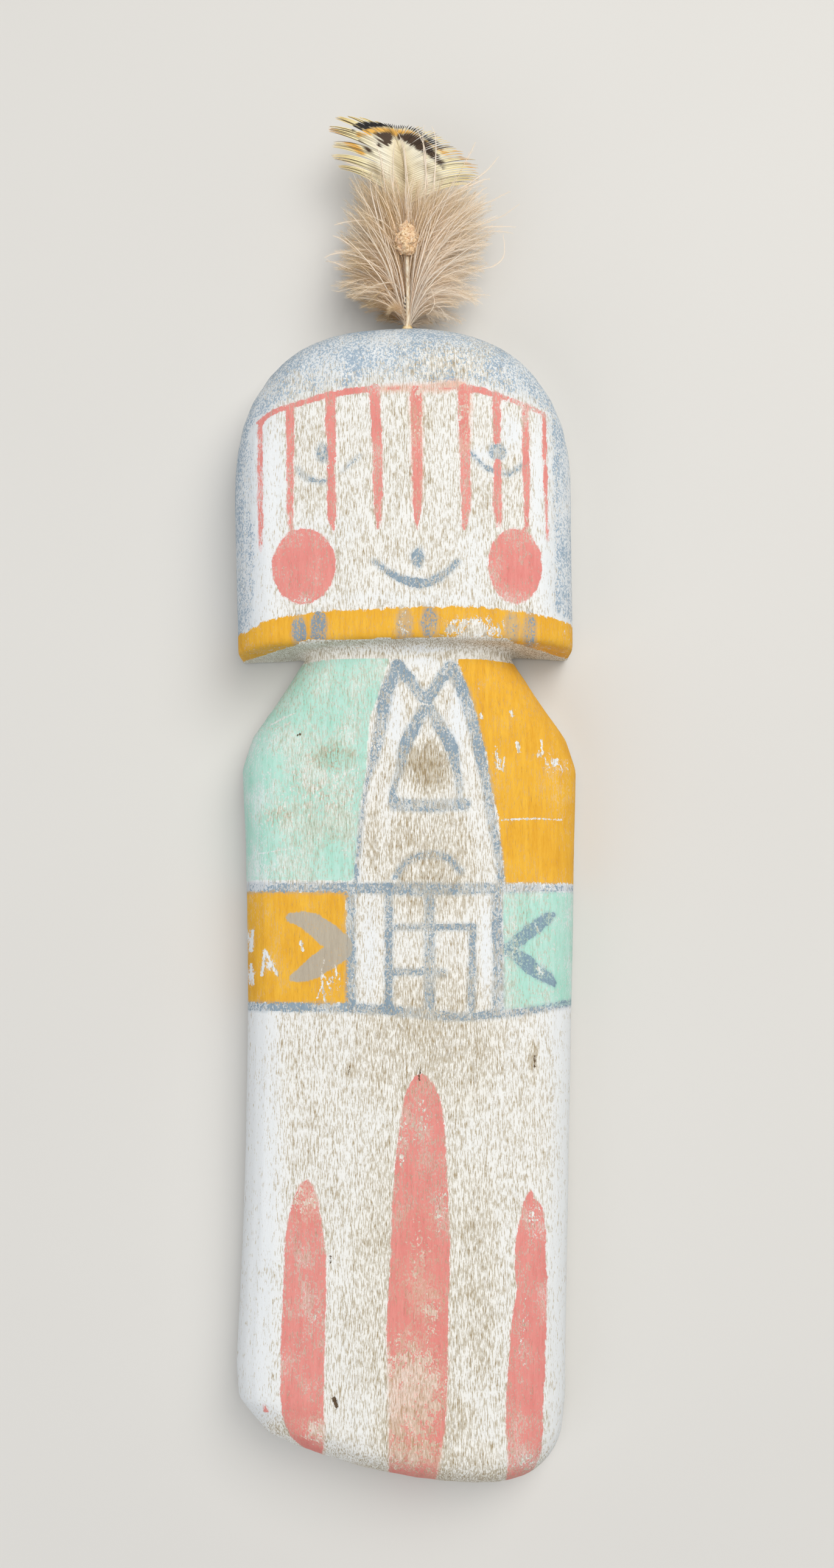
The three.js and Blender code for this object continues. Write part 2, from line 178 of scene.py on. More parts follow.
def makeStudio():
    bpy.ops.mesh.primitive_plane_add(size=studio["floorSize"], location=(0, 0, studio["floorHeight"]))
    floor = bpy.context.object
    floor.name = "studioTable"
    material, add = newMaterial("matteTabletop")
    cloud = add(noise, Vector=add("ShaderNodeTexCoord", out="Object"), Scale=9.0, Detail=3.0)
    tone = add(ranger, i0=cloud, i3=0.97, i4=1.03)
    colour = add(mixer, darken, out=2, i0=1.0, i6=linearColour(studio["floorColour"]), i7=tone)
    add("ShaderNodeOutputMaterial", Surface=add(shiny, **{"Base Color": colour, "Roughness": 0.85}))
    floor.data.materials.append(material)
    for name, place, size, power, colour in studio["lights"]:
        bpy.ops.object.light_add(type="AREA", location=place)
        light = bpy.context.object
        light.name = name
        light.rotation_euler = (-Vector(place)).to_track_quat("-Z", "Y").to_euler()
        light.data.size = size
        light.data.energy = power
        light.data.color = linearColour(colour)[:3]
    world = bpy.data.worlds.new("paleRoom")
    world.use_nodes = True
    background = world.node_tree.nodes["Background"]
    background.inputs["Color"].default_value = linearColour(studio["roomColour"])
    background.inputs["Strength"].default_value = studio["roomStrength"]
    scene.world = world
    scene.view_settings.view_transform = "Standard"
    print("studio lit")


# The carved board: a fine copy of its solid with knife facets, grain ridges and a few dents
figure = {
    "meshSpacing": 0.58,
    "sanding": 4,
    "markCuts": 3,  # how often a face is cut where a fine mark is drawn on it
    "markedAbove": 8.0,
    "facets": dict(cell=(5.5, 24.0, 9.0), depth=0.30),  # long shallow knife strokes
    "ridges": dict(cell=(1.1, 15.0, 3.0), depth=0.09),  # harder grain left standing by wear
    "dents": [
        # x, y, z, radius, depth
        (-20.5, 38.4, 15.2, 1.1, 0.35),
        (-9.0, 39.2, 18.0, 0.9, 0.30),
        (6.0, 39.7, 18.6, 1.3, 0.35),
        (15.5, 39.3, 17.8, 1.0, 0.40),
        (24.5, 38.6, 15.0, 1.2, 0.35),
        (-10.7, -79.8, 14.2, 0.7, 0.45),
        (20.7, -27.2, 13.4, 0.5, 0.25),
        (-23.0, -84.5, 7.0, 1.4, 0.35),
        (25.9, 60.0, 8.0, 1.2, 0.25),
        (26.6, -35.0, 6.5, 1.0, 0.30),
        (-26.5, 10.0, 6.0, 1.2, 0.25),
    ],
}


def stretchedDisplace(piece, name, cell, depth):
    # displaces along the normals by a cloud stretched to the cell's size
    cloud = bpy.data.textures.new(name, "CLOUDS")
    cloud.noise_scale = 1.0
    cloud.noise_depth = 2
    frameOfCell = bpy.data.objects.new(name + "Cell", None)
    scene.collection.objects.link(frameOfCell)
    frameOfCell.scale = Vector(cell) * mm
    bpy.context.view_layer.update()
    applyModifier(
        piece, name, "DISPLACE", texture=cloud, texture_coords="OBJECT",
        texture_coords_object=frameOfCell, strength=depth * mm, mid_level=0.5, direction="NORMAL",
    )
    bpy.data.objects.remove(frameOfCell)


def vectorsOf(items, field):
    values = np.zeros(len(items) * 3, np.float32)
    items.foreach_get(field, values)
    return values.reshape(-1, 3).astype(float)


def pointsOf(piece):
    return vectorsOf(piece.data.vertices, "co")


def movePoints(piece, places):
    piece.data.vertices.foreach_set("co", places.astype(np.float32).ravel())


def makeFigure():
    piece = copyOfNode("carved_figure", "paintedFigure")
    applyModifier(piece, "evenSkin", "REMESH", mode="VOXEL", voxel_size=figure["meshSpacing"] * mm)
    applyModifier(piece, "sanded", "SMOOTH", factor=0.5, iterations=figure["sanding"])
    stretchedDisplace(piece, "knifeFacets", **figure["facets"])
    stretchedDisplace(piece, "grainRidges", **figure["ridges"])
    places = pointsOf(piece)
    normals = vectorsOf(piece.data.vertices, "normal")
    for x, y, z, radius, depth in figure["dents"]:
        far = np.linalg.norm(places - np.array((x, y, z)) * mm, axis=1) / (radius * mm)
        push = depth * mm * np.clip(1 - far ** 2, 0, 1) ** 1.5
        places -= normals * push[:, None]
    places[:, 2] = np.maximum(places[:, 2], 0)  # it lies flat on its back
    movePoints(piece, places)
    piece.data.update()
    refineRoundMarks(piece)
    return piece


def refineRoundMarks(piece):
    # smaller faces where scratches and knots are to be drawn that are finer than the mesh
    x, y, z = (vectorsOf(piece.data.polygons, "center") / mm).T
    distance = np.minimum(paintDistance(x, y, scratches), paintDistance(x, y, darkMarks))
    near = (distance < figure["meshSpacing"]) & (z > figure["markedAbove"])
    selectOnly(piece)
    bpy.ops.object.mode_set(mode="EDIT")
    bpy.ops.mesh.select_mode(type="FACE")
    bpy.ops.mesh.select_all(action="DESELECT")
    bpy.ops.object.mode_set(mode="OBJECT")
    piece.data.polygons.foreach_set("select", near)
    bpy.ops.object.mode_set(mode="EDIT")
    bpy.ops.mesh.subdivide(number_cuts=figure["markCuts"])
    bpy.ops.mesh.select_mode(type="VERT")
    bpy.ops.object.mode_set(mode="OBJECT")


# The painting. A stroke is a line of (x, y, width), and an area is a closed outline of (x, y)
redPaint = {
    "strokes": [
        [(-23.8, 76.3, 1.0), (-20.8, 77.8, 1.0), (-17.1, 78.7, 1.0), (-12.4, 79.9, 1.0),
         (-8.0, 80.6, 1.1), (-4.3, 80.9, 1.0)],
        [(-2.5, 80.9, 0.7), (-0.7, 81.0, 0.6)],
        [(4.0, 80.8, 0.4), (8.4, 80.8, 0.5)],
        [(8.8, 80.8, 1.0), (11.3, 80.9, 1.2), (15.3, 80.0, 1.0), (19.4, 78.7, 0.9), (22.5, 77.7, 0.9)],
        [(-23.6, 76.2, 1.0), (-23.4, 63.2, 1.0), (-23.3, 57.0, 0.8), (-23.2, 54.4, 0.3)],
        [(-18.6, 78.2, 1.5), (-18.5, 70.0, 1.3), (-18.5, 62.0, 1.1), (-18.3, 57.0, 0.7)],
        [(-12.0, 79.9, 1.8), (-11.9, 74.0, 1.7), (-11.7, 69.2, 1.5)],
        [(-11.9, 67.8, 1.3), (-11.7, 61.0, 1.5), (-11.5, 57.4, 0.6)],
        [(-4.9, 80.9, 1.7), (-4.4, 71.0, 1.7), (-4.3, 62.0, 1.5), (-4.1, 57.8, 0.6)],
        [(1.8, 80.5, 2.0), (2.0, 70.4, 1.7), (2.1, 62.0, 1.5), (1.9, 57.8, 0.5)],
        [(9.5, 80.8, 2.0), (9.7, 70.0, 1.8), (9.9, 62.0, 1.6), (9.5, 58.0, 0.7)],
        [(14.9, 80.0, 1.5), (14.9, 72.3, 1.2)],
        [(15.0, 69.0, 1.3), (15.0, 62.0, 1.5), (15.1, 58.4, 0.9)],
        [(19.6, 78.6, 1.1), (19.7, 66.0, 1.2), (19.7, 58.0, 0.6)],
        [(22.7, 77.7, 0.8), (22.8, 67.2, 0.8), (23.1, 56.4, 0.5)],
        [(-15.4, -45.8, 0.6), (-15.5, -47.6, 2.9), (-15.6, -50.4, 4.7), (-15.7, -54.5, 6.1),
         (-15.6, -59.0, 6.7), (-15.8, -67.6, 7.0), (-15.9, -76.2, 6.9), (-15.8, -81.3, 6.6),
         (-15.2, -84.4, 5.6), (-14.1, -88.0, 2.5)],
        [(2.7, -29.8, 1.1), (2.7, -30.7, 3.2), (2.8, -33.5, 5.9), (2.8, -37.7, 7.2), (2.6, -44.0, 8.3),
         (2.5, -51.0, 9.0), (2.5, -58.8, 9.4), (2.1, -65.7, 9.7), (2.1, -70.9, 9.6), (2.1, -76.0, 9.3),
         (2.0, -82.9, 8.8), (1.2, -92.5, 7.2)],
        [(20.0, -47.6, 0.6), (19.8, -49.0, 1.8), (20.2, -50.8, 3.6), (20.0, -54.6, 4.8),
         (19.9, -59.0, 5.1), (20.1, -62.5, 5.0), (19.5, -69.4, 5.7), (19.2, -74.6, 5.9),
         (18.8, -81.4, 6.0), (18.7, -88.2, 5.3), (17.4, -92.4, 3.0)],
        [(-22.0, -80.4, 0.5), (-21.7, -81.4, 0.9)],
    ],
    "rounds": [
        # x, y, half width, half height
        (-16.2, 51.9, 5.2, 6.2),
        (17.8, 52.0, 4.4, 6.2),
    ],
}

bluePaint = {
    "strokes": [
        [(-17.4, 68.1, 0.9), (-16.0, 66.5, 1.2), (-13.4, 65.6, 1.1), (-11.6, 66.2, 0.7)],
        [(-10.1, 67.2, 0.7), (-8.7, 68.6, 1.1), (-7.2, 69.7, 0.9)],
        [(10.7, 70.5, 0.9), (12.2, 68.7, 1.1), (14.6, 67.3, 1.2), (17.1, 67.2, 1.2), (19.3, 68.9, 1.0)],
        [(-4.9, 52.5, 1.2), (-1.8, 50.3, 1.4), (1.1, 49.1, 1.9), (3.6, 49.0, 1.9), (6.5, 50.5, 1.6),
         (8.7, 52.7, 1.1)],
        [(-1.2, 36.3, 2.3), (-2.9, 31.9, 2.6), (-3.8, 26.8, 2.4), (-4.7, 22.0, 2.0), (-5.9, 17.7, 1.0),
         (-6.8, 12.2, 1.0), (-7.4, 6.1, 1.1), (-7.8, 1.0, 1.2)],
        [(7.5, 36.2, 2.3), (9.8, 31.2, 2.5), (11.5, 25.0, 2.2), (13.1, 17.7, 2.0), (14.1, 10.5, 1.8),
         (15.0, 6.1, 1.6), (15.6, 1.0, 1.6)],
        [(-1.0, 36.4, 2.2), (1.2, 33.4, 2.2), (3.2, 30.7, 2.0)],
        [(7.2, 36.3, 2.2), (5.4, 33.4, 2.2), (3.7, 30.7, 2.0)],
        [(3.7, 30.0, 1.8), (5.6, 26.6, 2.4), (7.5, 23.1, 2.4), (8.4, 19.1, 1.6), (8.9, 15.9, 1.4)],
        [(3.3, 29.8, 1.8), (1.8, 26.8, 2.4), (0.2, 23.5, 2.4), (-0.9, 19.1, 1.6), (-1.9, 15.8, 1.4),
         (-1.7, 14.0, 2.0)],
        [(-1.5, 13.8, 2.3), (4.0, 13.5, 2.3), (9.6, 13.9, 2.3)],
        [(-1.4, 2.1, 1.3), (0.0, 4.3, 1.5), (2.9, 5.6, 1.6), (6.5, 5.4, 1.6), (9.1, 3.0, 1.4)],
        [(-26.5, 0.6, 2.0), (-9.7, 0.4, 1.9), (2.0, 0.2, 2.4), (14.1, 0.3, 1.9), (28.0, 0.5, 1.3)],
        [(-8.7, -0.4, 1.8), (-8.5, -17.8, 2.0)],
        [(-2.5, -0.4, 1.6), (-2.5, -18.8, 1.7)],
        [(4.0, -1.1, 2.0), (4.0, -18.6, 2.0)],
        [(10.9, -5.8, 1.5), (10.7, -18.8, 1.6)],
        [(14.8, -1.0, 1.9), (15.0, -18.8, 2.4)],
        [(-1.8, -5.9, 1.3), (10.9, -5.8, 1.4)],
        [(-1.7, -12.9, 1.5), (6.3, -13.1, 1.6)],
        [(16.0, -9.6, 1.8), (19.1, -7.2, 2.5), (22.4, -4.8, 2.3), (23.9, -3.7, 1.2)],
        [(16.0, -9.0, 1.8), (20.0, -12.0, 2.8), (23.0, -14.0, 2.2), (23.9, -14.9, 1.2)],
        [(-26.5, -18.5, 1.8), (-7.5, -18.7, 1.9), (1.0, -19.4, 1.8), (8.6, -20.0, 1.7),
         (17.6, -19.4, 1.6), (28.0, -17.8, 1.4)],
    ],
    "rounds": [
        (-13.2, 70.4, 1.4, 1.9),
        (15.0, 70.6, 1.65, 1.65),
        (2.1, 53.0, 1.2, 1.9),
        (-16.9, 41.4, 1.35, 3.1),
        (-13.7, 41.5, 1.5, 3.2),
        (-0.1, 42.1, 1.5, 3.0),
        (4.0, 42.4, 1.55, 2.9),
        (17.2, 41.8, 1.25, 3.0),
        (20.1, 41.5, 1.25, 3.2),
    ],
}

greyPaint = {
    "strokes": [
        [(-18.4, -4.3, 1.4), (-15.4, -4.9, 3.0), (-12.6, -6.8, 3.9), (-10.0, -8.9, 3.6)],
        [(-17.8, -13.9, 1.2), (-15.4, -13.0, 2.9), (-12.8, -11.2, 3.6), (-10.0, -9.6, 3.2)],
    ],
}

ochrePaint = {
    "areas": [
        [(-25.9, 41.9), (-23.5, 42.3), (-22.8, 43.1), (-18.0, 44.0), (-13.3, 44.4), (-6.1, 44.7),
         (1.1, 45.0), (10.1, 45.2), (15.5, 44.9), (21.0, 44.2), (27.1, 43.4), (30.0, 43.1), (30.0, 35.2),
         (27.4, 35.6), (21.2, 38.2), (15.5, 38.9), (8.3, 39.2), (2.9, 39.4), (-1.7, 39.5), (-6.1, 39.0),
         (-13.3, 38.5), (-20.9, 37.6), (-25.9, 35.4), (-30.0, 35.2), (-30.0, 41.6)],
        [(8.7, 38.2), (8.8, 36.7), (10.2, 32.3), (11.7, 27.6), (13.1, 22.1), (13.8, 17.7), (14.9, 12.3),
         (15.7, 6.1), (16.0, 1.2), (30.0, 1.2), (30.0, 38.2)],
        [(-30.0, 0.0), (-9.2, -0.2), (-9.1, -18.0), (-30.0, -17.9)],
    ],
}

mintPaint = {
    "areas": [
        [(-30.0, 38.2), (-2.5, 38.2), (-2.7, 36.5), (-4.0, 32.3), (-5.6, 27.5), (-6.1, 19.1),
         (-7.0, 14.0), (-7.5, 8.6), (-8.0, 1.5), (-30.0, 1.7)],
        [(15.7, -0.2), (30.0, 0.0), (30.0, -18.2), (15.8, -19.0)],
    ],
}

skyPaint = {
    "areas": [
        [(-32.0, 100.0), (-32.0, 36.0), (-25.6, 36.0), (-25.2, 41.3), (-23.7, 41.9), (-23.6, 55.0),
         (-24.3, 75.8), (-21.0, 78.2), (-12.4, 80.3), (-4.3, 81.4), (2.5, 81.3), (11.3, 81.4),
         (19.4, 79.2), (23.4, 77.5), (23.5, 60.0), (23.7, 44.6), (25.4, 43.4), (32.0, 42.8),
         (32.0, 100.0)],
    ],
}

# What is left of the middle flame where hands have rubbed it thin
rubbedPaint = {
    "strokes": [
        [(2.4, -52.0, 5.0), (2.2, -62.0, 8.4), (2.1, -72.0, 9.4), (2.0, -82.9, 8.8), (1.2, -93.0, 7.4)],
        [(-15.6, -47.4, 2.6), (-15.6, -51.0, 4.6)],
        [(-15.2, -82.6, 6.0), (-14.1, -88.5, 3.0)],
        [(-3.4, 80.8, 1.4), (5.0, 81.0, 1.8), (9.6, 80.8, 2.0), (9.7, 71.0, 1.8)],
        [(1.9, 80.5, 2.2), (2.1, 62.0, 1.6)],
    ],
}

# Scratches and flakes down to the ground, as strokes
scratches = {
    "strokes": [
        [(-22.4, -9.6, 0.7), (-22.9, -13.5, 0.5)],
        [(-22.2, -10.0, 0.6), (-20.4, -13.4, 0.5)],
        [(-24.6, -6.4, 0.5), (-24.9, -9.4, 0.9)],
        [(-24.9, -11.9, 0.6), (-24.4, -15.0, 0.4)],
        [(-12.8, -10.8, 0.3), (-13.2, -14.0, 0.35), (-12.6, -17.8, 0.3)],
        [(-13.1, -13.0, 0.25), (-11.7, -15.8, 0.25)],
        [(-12.9, -14.6, 0.25), (-14.0, -17.2, 0.25)],
        [(-16.6, -8.2, 0.5), (-16.2, -9.6, 0.4)],
        [(-11.0, -12.0, 0.4), (-10.8, -13.6, 0.3)],
        [(15.6, 11.3, 0.25), (20.6, 11.6, 0.3), (25.4, 11.5, 0.25)],
        [(17.2, 28.9, 0.6), (17.4, 28.3, 0.5)],
        [(12.3, 28.4, 0.5), (12.5, 27.8, 0.5)],
        [(18.2, 23.8, 0.7), (18.5, 22.4, 0.5)],
        [(16.0, 21.4, 0.3), (15.8, 19.2, 0.25)],
        [(22.2, 24.4, 0.3), (22.3, 22.0, 0.3)],
        [(1.6, 30.1, 0.3), (4.7, 29.9, 0.3)],
        [(-21.9, 27.1, 0.3), (-20.0, 27.9, 0.4), (-17.8, 28.8, 0.25)],
        [(-20.9, 26.2, 0.2), (-18.4, 27.3, 0.2)],
        [(-23.8, 6.0, 0.3), (-18.0, 6.8, 0.25)],
        [(20.9, -5.4, 0.4), (21.6, -6.6, 0.3)],
        [(21.4, -12.4, 0.6), (21.9, -13.0, 0.4)],
    ],
}

# Small knots and ticks in the wood
darkMarks = {
    "strokes": [
        [(-10.9, -79.2, 0.7), (-10.5, -80.5, 0.4)],
        [(20.7, -26.4, 0.25), (20.7, -28.0, 0.2)],
        [(2.5, -27.9, 0.15), (2.5, -28.9, 0.15)],
        [(2.3, -29.2, 0.15), (2.4, -30.0, 0.15)],
        [(-17.3, 25.1, 0.25), (-16.9, 25.3, 0.3)],
        [(-11.6, -57.4, 0.15), (-11.6, -58.4, 0.15)],
        [(-8.7, -27.9, 0.1), (-8.9, -29.2, 0.1)],
    ],
}

# Where the wood shows through the whitewash, where the whitewash is still clean, and where paint is
# worn off: x, y, half width, half height, amount
bareWood = [
    (3.5, 20.0, 4.5, 4.5, 0.80), (-5.0, 8.0, 1.6, 8.0, 0.45), (4.0, 4.0, 9.0, 12.0, 0.45),
    (4.0, -24.0, 14.0, 16.0, 0.42), (2.0, -60.0, 15.0, 34.0, 0.34), (3.0, -84.0, 9.0, 9.0, 0.50),
    (-11.5, 21.5, 4.0, 2.4, 0.75), (-20.0, 12.0, 3.0, 2.2, 0.45), (-13.0, 12.0, 7.0, 9.0, 0.34),
    (2.0, 66.0, 12.0, 13.0, 0.22), (-13.0, 67.0, 4.5, 7.0, 0.24), (6.0, 84.0, 9.0, 3.5, 0.34),
    (-7.0, 55.0, 7.0, 4.0, 0.24), (22.0, -40.0, 3.5, 18.0, 0.22), (10.0, -88.0, 6.0, 4.0, 0.40),
    (-18.0, -72.0, 7.0, 16.0, 0.18), (20.5, -27.0, 0.9, 4.0, 0.55), (-8.3, -28.4, 1.6, 1.4, 0.45),
    (11.0, -60.0, 5.0, 22.0, 0.38), (2.0, 76.0, 4.0, 4.0, 0.34), (8.0, 41.5, 6.0, 1.6, 0.40),
    (4.0, -91.5, 20.0, 2.4, 0.46), (-20.0, -84.5, 4.0, 2.0, 0.36),
]
cleanWhite = [
    (8.6, 27.5, 1.6, 5.5, 0.9), (-1.6, 27.5, 1.3, 5.0, 0.9), (3.4, 37.4, 3.2, 2.4, 0.7),
    (-5.6, -9.5, 1.6, 8.5, 0.7), (13.0, -9.5, 0.9, 8.5, 0.9), (-20.8, 65.0, 2.0, 11.0, 0.8),
    (21.4, 66.0, 1.2, 11.0, 0.8), (17.4, 74.0, 1.8, 3.4, 0.9), (12.3, 70.2, 2.0, 1.4, 0.7),
    (-24.5, -60.0, 5.0, 40.0, 0.95), (25.6, -60.0, 3.0, 40.0, 0.75), (-14.6, 57.0, 8.0, 3.0, 0.4),
    (11.0, 52.0, 3.0, 8.0, 0.4), (22.6, 52.0, 1.6, 9.0, 0.7), (-22.2, 50.0, 1.2, 7.0, 0.7),
    (-12.0, 88.0, 14.0, 5.5, 0.9), (20.0, 85.0, 7.0, 6.0, 0.8), (2.0, 91.0, 16.0, 2.6, 0.9),
    (2.0, 46.6, 22.0, 1.0, 0.4),
]
lostPaint = [
    (7.5, 85.0, 7.5, 3.2, 0.62), (0.0, 82.6, 22.0, 1.6, 0.42), (14.0, 83.5, 5.0, 2.4, 0.40),
    (-3.0, 87.6, 4.5, 2.4, 0.36), (-16.0, 82.0, 5.0, 2.4, 0.34), (21.0, 78.5, 3.0, 3.0, 0.34),
    (-13.0, 16.5, 7.5, 8.0, 0.46), (-11.5, 22.0, 4.5, 2.0, 0.40), (-20.1, 12.0, 3.2, 2.6, 0.50),
    (-9.4, 27.0, 3.0, 4.0, 0.34), (-22.0, 4.0, 4.0, 2.4, 0.34), (10.6, 41.6, 5.4, 2.2, 0.78),
    (-0.1, 42.5, 1.4, 2.4, 0.45), (4.2, -66.0, 2.2, 4.6, 0.50), (0.6, -78.5, 6.6, 9.4, 0.72),
    (1.5, -87.5, 6.6, 3.6, 0.60), (-1.6, -80.0, 2.6, 5.0, 0.84), (2.0, -57.0, 2.5, 7.0, 0.40),
    (5.6, -50.0, 1.6, 6.0, 0.42),
    (-16.0, -49.0, 3.0, 3.2, 0.48), (-13.5, -84.4, 2.6, 2.2, 0.66), (24.6, 20.5, 2.6, 1.6, 0.50),
    (22.6, 21.8, 2.4, 1.2, 0.42), (14.9, 19.9, 1.0, 3.6, 0.44), (11.9, 32.3, 0.7, 2.4, 0.40),
    (-25.4, -7.9, 1.2, 2.2, 0.62), (-24.9, -13.6, 1.0, 1.8, 0.62), (-21.4, -11.7, 0.9, 1.5, 0.5),
    (-11.4, -14.6, 1.8, 3.0, 0.42), (3.5, 5.0, 8.0, 4.0, 0.45), (3.0, -9.0, 7.0, 9.0, 0.34),
    (4.0, -19.3, 6.0, 1.6, 0.42), (4.0, 18.0, 6.0, 2.6, 0.45), (-4.3, 24.0, 2.0, 3.0, 0.44),
    (20.5, 0.5, 7.0, 1.0, 0.34), (3.0, 80.9, 4.5, 2.0, 0.52), (-9.0, 69.0, 3.0, 3.0, 0.48),
    (2.0, 73.0, 1.6, 6.0, 0.36), (9.6, 76.0, 1.6, 5.0, 0.42), (16.6, -8.6, 2.0, 6.0, 0.36),
    (17.2, -5.4, 1.0, 1.3, 0.50), (21.7, -12.6, 0.7, 0.9, 0.6), (0.0, 38.9, 24.0, 0.7, 0.60),
    (-22.0, 37.6, 5.0, 0.6, 0.55), (18.5, 38.9, 7.0, 0.9, 0.58), (-25.8, 60.0, 1.2, 26.0, 0.30),
    (26.6, 60.0, 1.4, 26.0, 0.36), (19.0, -89.0, 3.4, 2.6, 0.42), (13.4, 9.0, 1.4, 7.0, 0.42),
    (-5.4, 17.0, 1.2, 6.0, 0.40), (20.2, -52.0, 2.0, 4.0, 0.40), (18.6, -70.0, 1.0, 8.0, 0.34),
    (-15.0, -66.0, 2.0, 8.0, 0.26), (-0.6, -40.0, 1.4, 8.0, 0.36), (-16.6, 46.6, 2.6, 1.0, 0.36),
    (-5.0, 52.4, 2.4, 2.4, 0.34), (-14.0, 67.0, 4.4, 2.6, 0.22), (2.8, -36.0, 2.6, 5.0, 0.36),
    (-4.5, -8.0, 1.6, 9.0, 0.36), (7.0, -13.0, 4.0, 3.0, 0.36), (3.6, 14.0, 5.0, 1.4, 0.30),
]


def throughPoints(points, steps=5):
    # a smooth line through a stroke's points, widths included
    points = np.array(points, float)
    if len(points) < 3:
        return points
    padded = np.vstack([2 * points[0] - points[1], points, 2 * points[-1] - points[-2]])
    line = []
    for a, b, c, d in zip(padded, padded[1:], padded[2:], padded[3:]):
        for i in range(steps):
            t = i / steps
            square, cube = 2 * a - 5 * b + 4 * c - d, 3 * b - a - 3 * c + d
            line.append(0.5 * (2 * b + (c - a) * t + square * t ** 2 + cube * t ** 3))
    return np.array([*line, points[-1]])


def placesAlong(points, steps, share):
    # x and y at these shares of the length of a smooth line through the points
    line = throughPoints(points, steps)
    length = np.concatenate([[0], np.cumsum(np.hypot(*np.diff(line, axis=0).T))])
    return [np.interp(share * length[-1], length, axis) for axis in line.T]


def paintDistance(x, y, paint):
    # how far each place lies outside the paint, in millimetres; below zero is inside it
    best = np.full(len(x), 50.0)
    for stroke in paint.get("strokes", []):
        line = throughPoints(stroke)
        reach = 4 + line[:, 2].max()
        near = (x > line[:, 0].min() - reach) & (x < line[:, 0].max() + reach)
        near &= (y > line[:, 1].min() - reach) & (y < line[:, 1].max() + reach)
        px, py = x[near], y[near]
        found = best[near]
        for (ax, ay, aw), (bx, by, bw) in zip(line, line[1:]):
            dx, dy = bx - ax, by - ay
            t = np.clip(((px - ax) * dx + (py - ay) * dy) / max(dx * dx + dy * dy, 1e-9), 0, 1)
            width = aw + (bw - aw) * t
            found = np.minimum(found, np.hypot(px - ax - t * dx, py - ay - t * dy) - width / 2)
        best[near] = found
    for cx, cy, halfWidth, halfHeight in paint.get("rounds", []):
        spread = np.hypot((x - cx) / halfWidth, (y - cy) / halfHeight)
        best = np.minimum(best, (spread - 1) * min(halfWidth, halfHeight))
    for outline in paint.get("areas", []):
        edge = np.full(len(x), 50.0)
        inside = np.zeros(len(x), bool)
        for (ax, ay), (bx, by) in zip(outline, outline[1:] + outline[:1]):
            dx, dy = bx - ax, by - ay
            t = np.clip(((x - ax) * dx + (y - ay) * dy) / (dx * dx + dy * dy), 0, 1)
            edge = np.minimum(edge, np.hypot(x - ax - t * dx, y - ay - t * dy))
            if ay != by:
                inside ^= ((ay > y) != (by > y)) & (x < ax + dx * (y - ay) / dy)
        best = np.minimum(best, np.where(inside, -edge, edge))
    return best


def softPatches(x, y, patches):
    # how strongly each place lies within the patches
    amount = np.zeros(len(x))
    for cx, cy, halfWidth, halfHeight, strength in patches:
        far = ((x - cx) / halfWidth) ** 2 + ((y - cy) / halfHeight) ** 2
        amount = np.maximum(amount, strength * np.exp(-0.9 * far ** 1.4))
    return amount


def addAttribute(piece, name, values):
    attribute = piece.data.attributes.new(name, "FLOAT", "POINT")
    attribute.data.foreach_set("value", np.asarray(values, np.float32))


# How far the whitewash is rubbed away by handling over the middle of the front, and on the chin's
# underside and the neck below it, which have no paint
wear = {
    "handled": 0.21,
    "handledHalfWidth": 25.0,
    "handledFade": 6.0,
    "handledFrom": 5.0,  # height on the sides where it begins
    "underChin": 0.30,
    "facingDown": -0.75,
    "chinEdge": (36.3, 40.5),
    "chinHalfWidth": (16.0, 27.5),
    "chinPaint": (18.0, 3.0),  # the ochre runs down over the underside's two ends, to this height
    "neckHalfWidth": 19.0,
    "neckFront": 14.5,
    "neckEdge": 37.5,
    "unpainted": 4.0,
}


def layOutPaint(piece):
    x, y, z = (pointsOf(piece) / mm).T
    facing = vectorsOf(piece.data.vertices, "normal")[:, 1]
    paintedTo = np.interp(np.abs(x), wear["chinHalfWidth"], wear["chinPaint"])
    chinLow, chinHigh = wear["chinEdge"]
    under = (facing < wear["facingDown"]) & (z < paintedTo) & (y > chinLow)
    neck = (z < wear["neckFront"]) & (np.abs(x) < wear["neckHalfWidth"]) & (y > wear["neckEdge"])
    underChin = (under | neck) & (y < chinHigh)
    for name, paint in paints.items():
        distance = paintDistance(x, y, paint["layout"])
        addAttribute(piece, name, np.where(underChin, np.maximum(distance, wear["unpainted"]), distance))
    fade = np.clip((wear["handledHalfWidth"] - np.abs(x - 1)) / wear["handledFade"], 0, 1)
    handled = wear["handled"] * fade * np.clip(z / wear["handledFrom"] - 1, 0, 1)
    bare = np.maximum(softPatches(x, y, bareWood), handled) * (1 - softPatches(x, y, cleanWhite))
    addAttribute(piece, "bareWood", np.where(underChin, wear["underChin"], bare))
    addAttribute(piece, "lostPaint", softPatches(x, y, lostPaint))
    addAttribute(piece, "scratches", paintDistance(x, y, scratches))
    addAttribute(piece, "darkMarks", paintDistance(x, y, darkMarks))
    print("painting laid out")


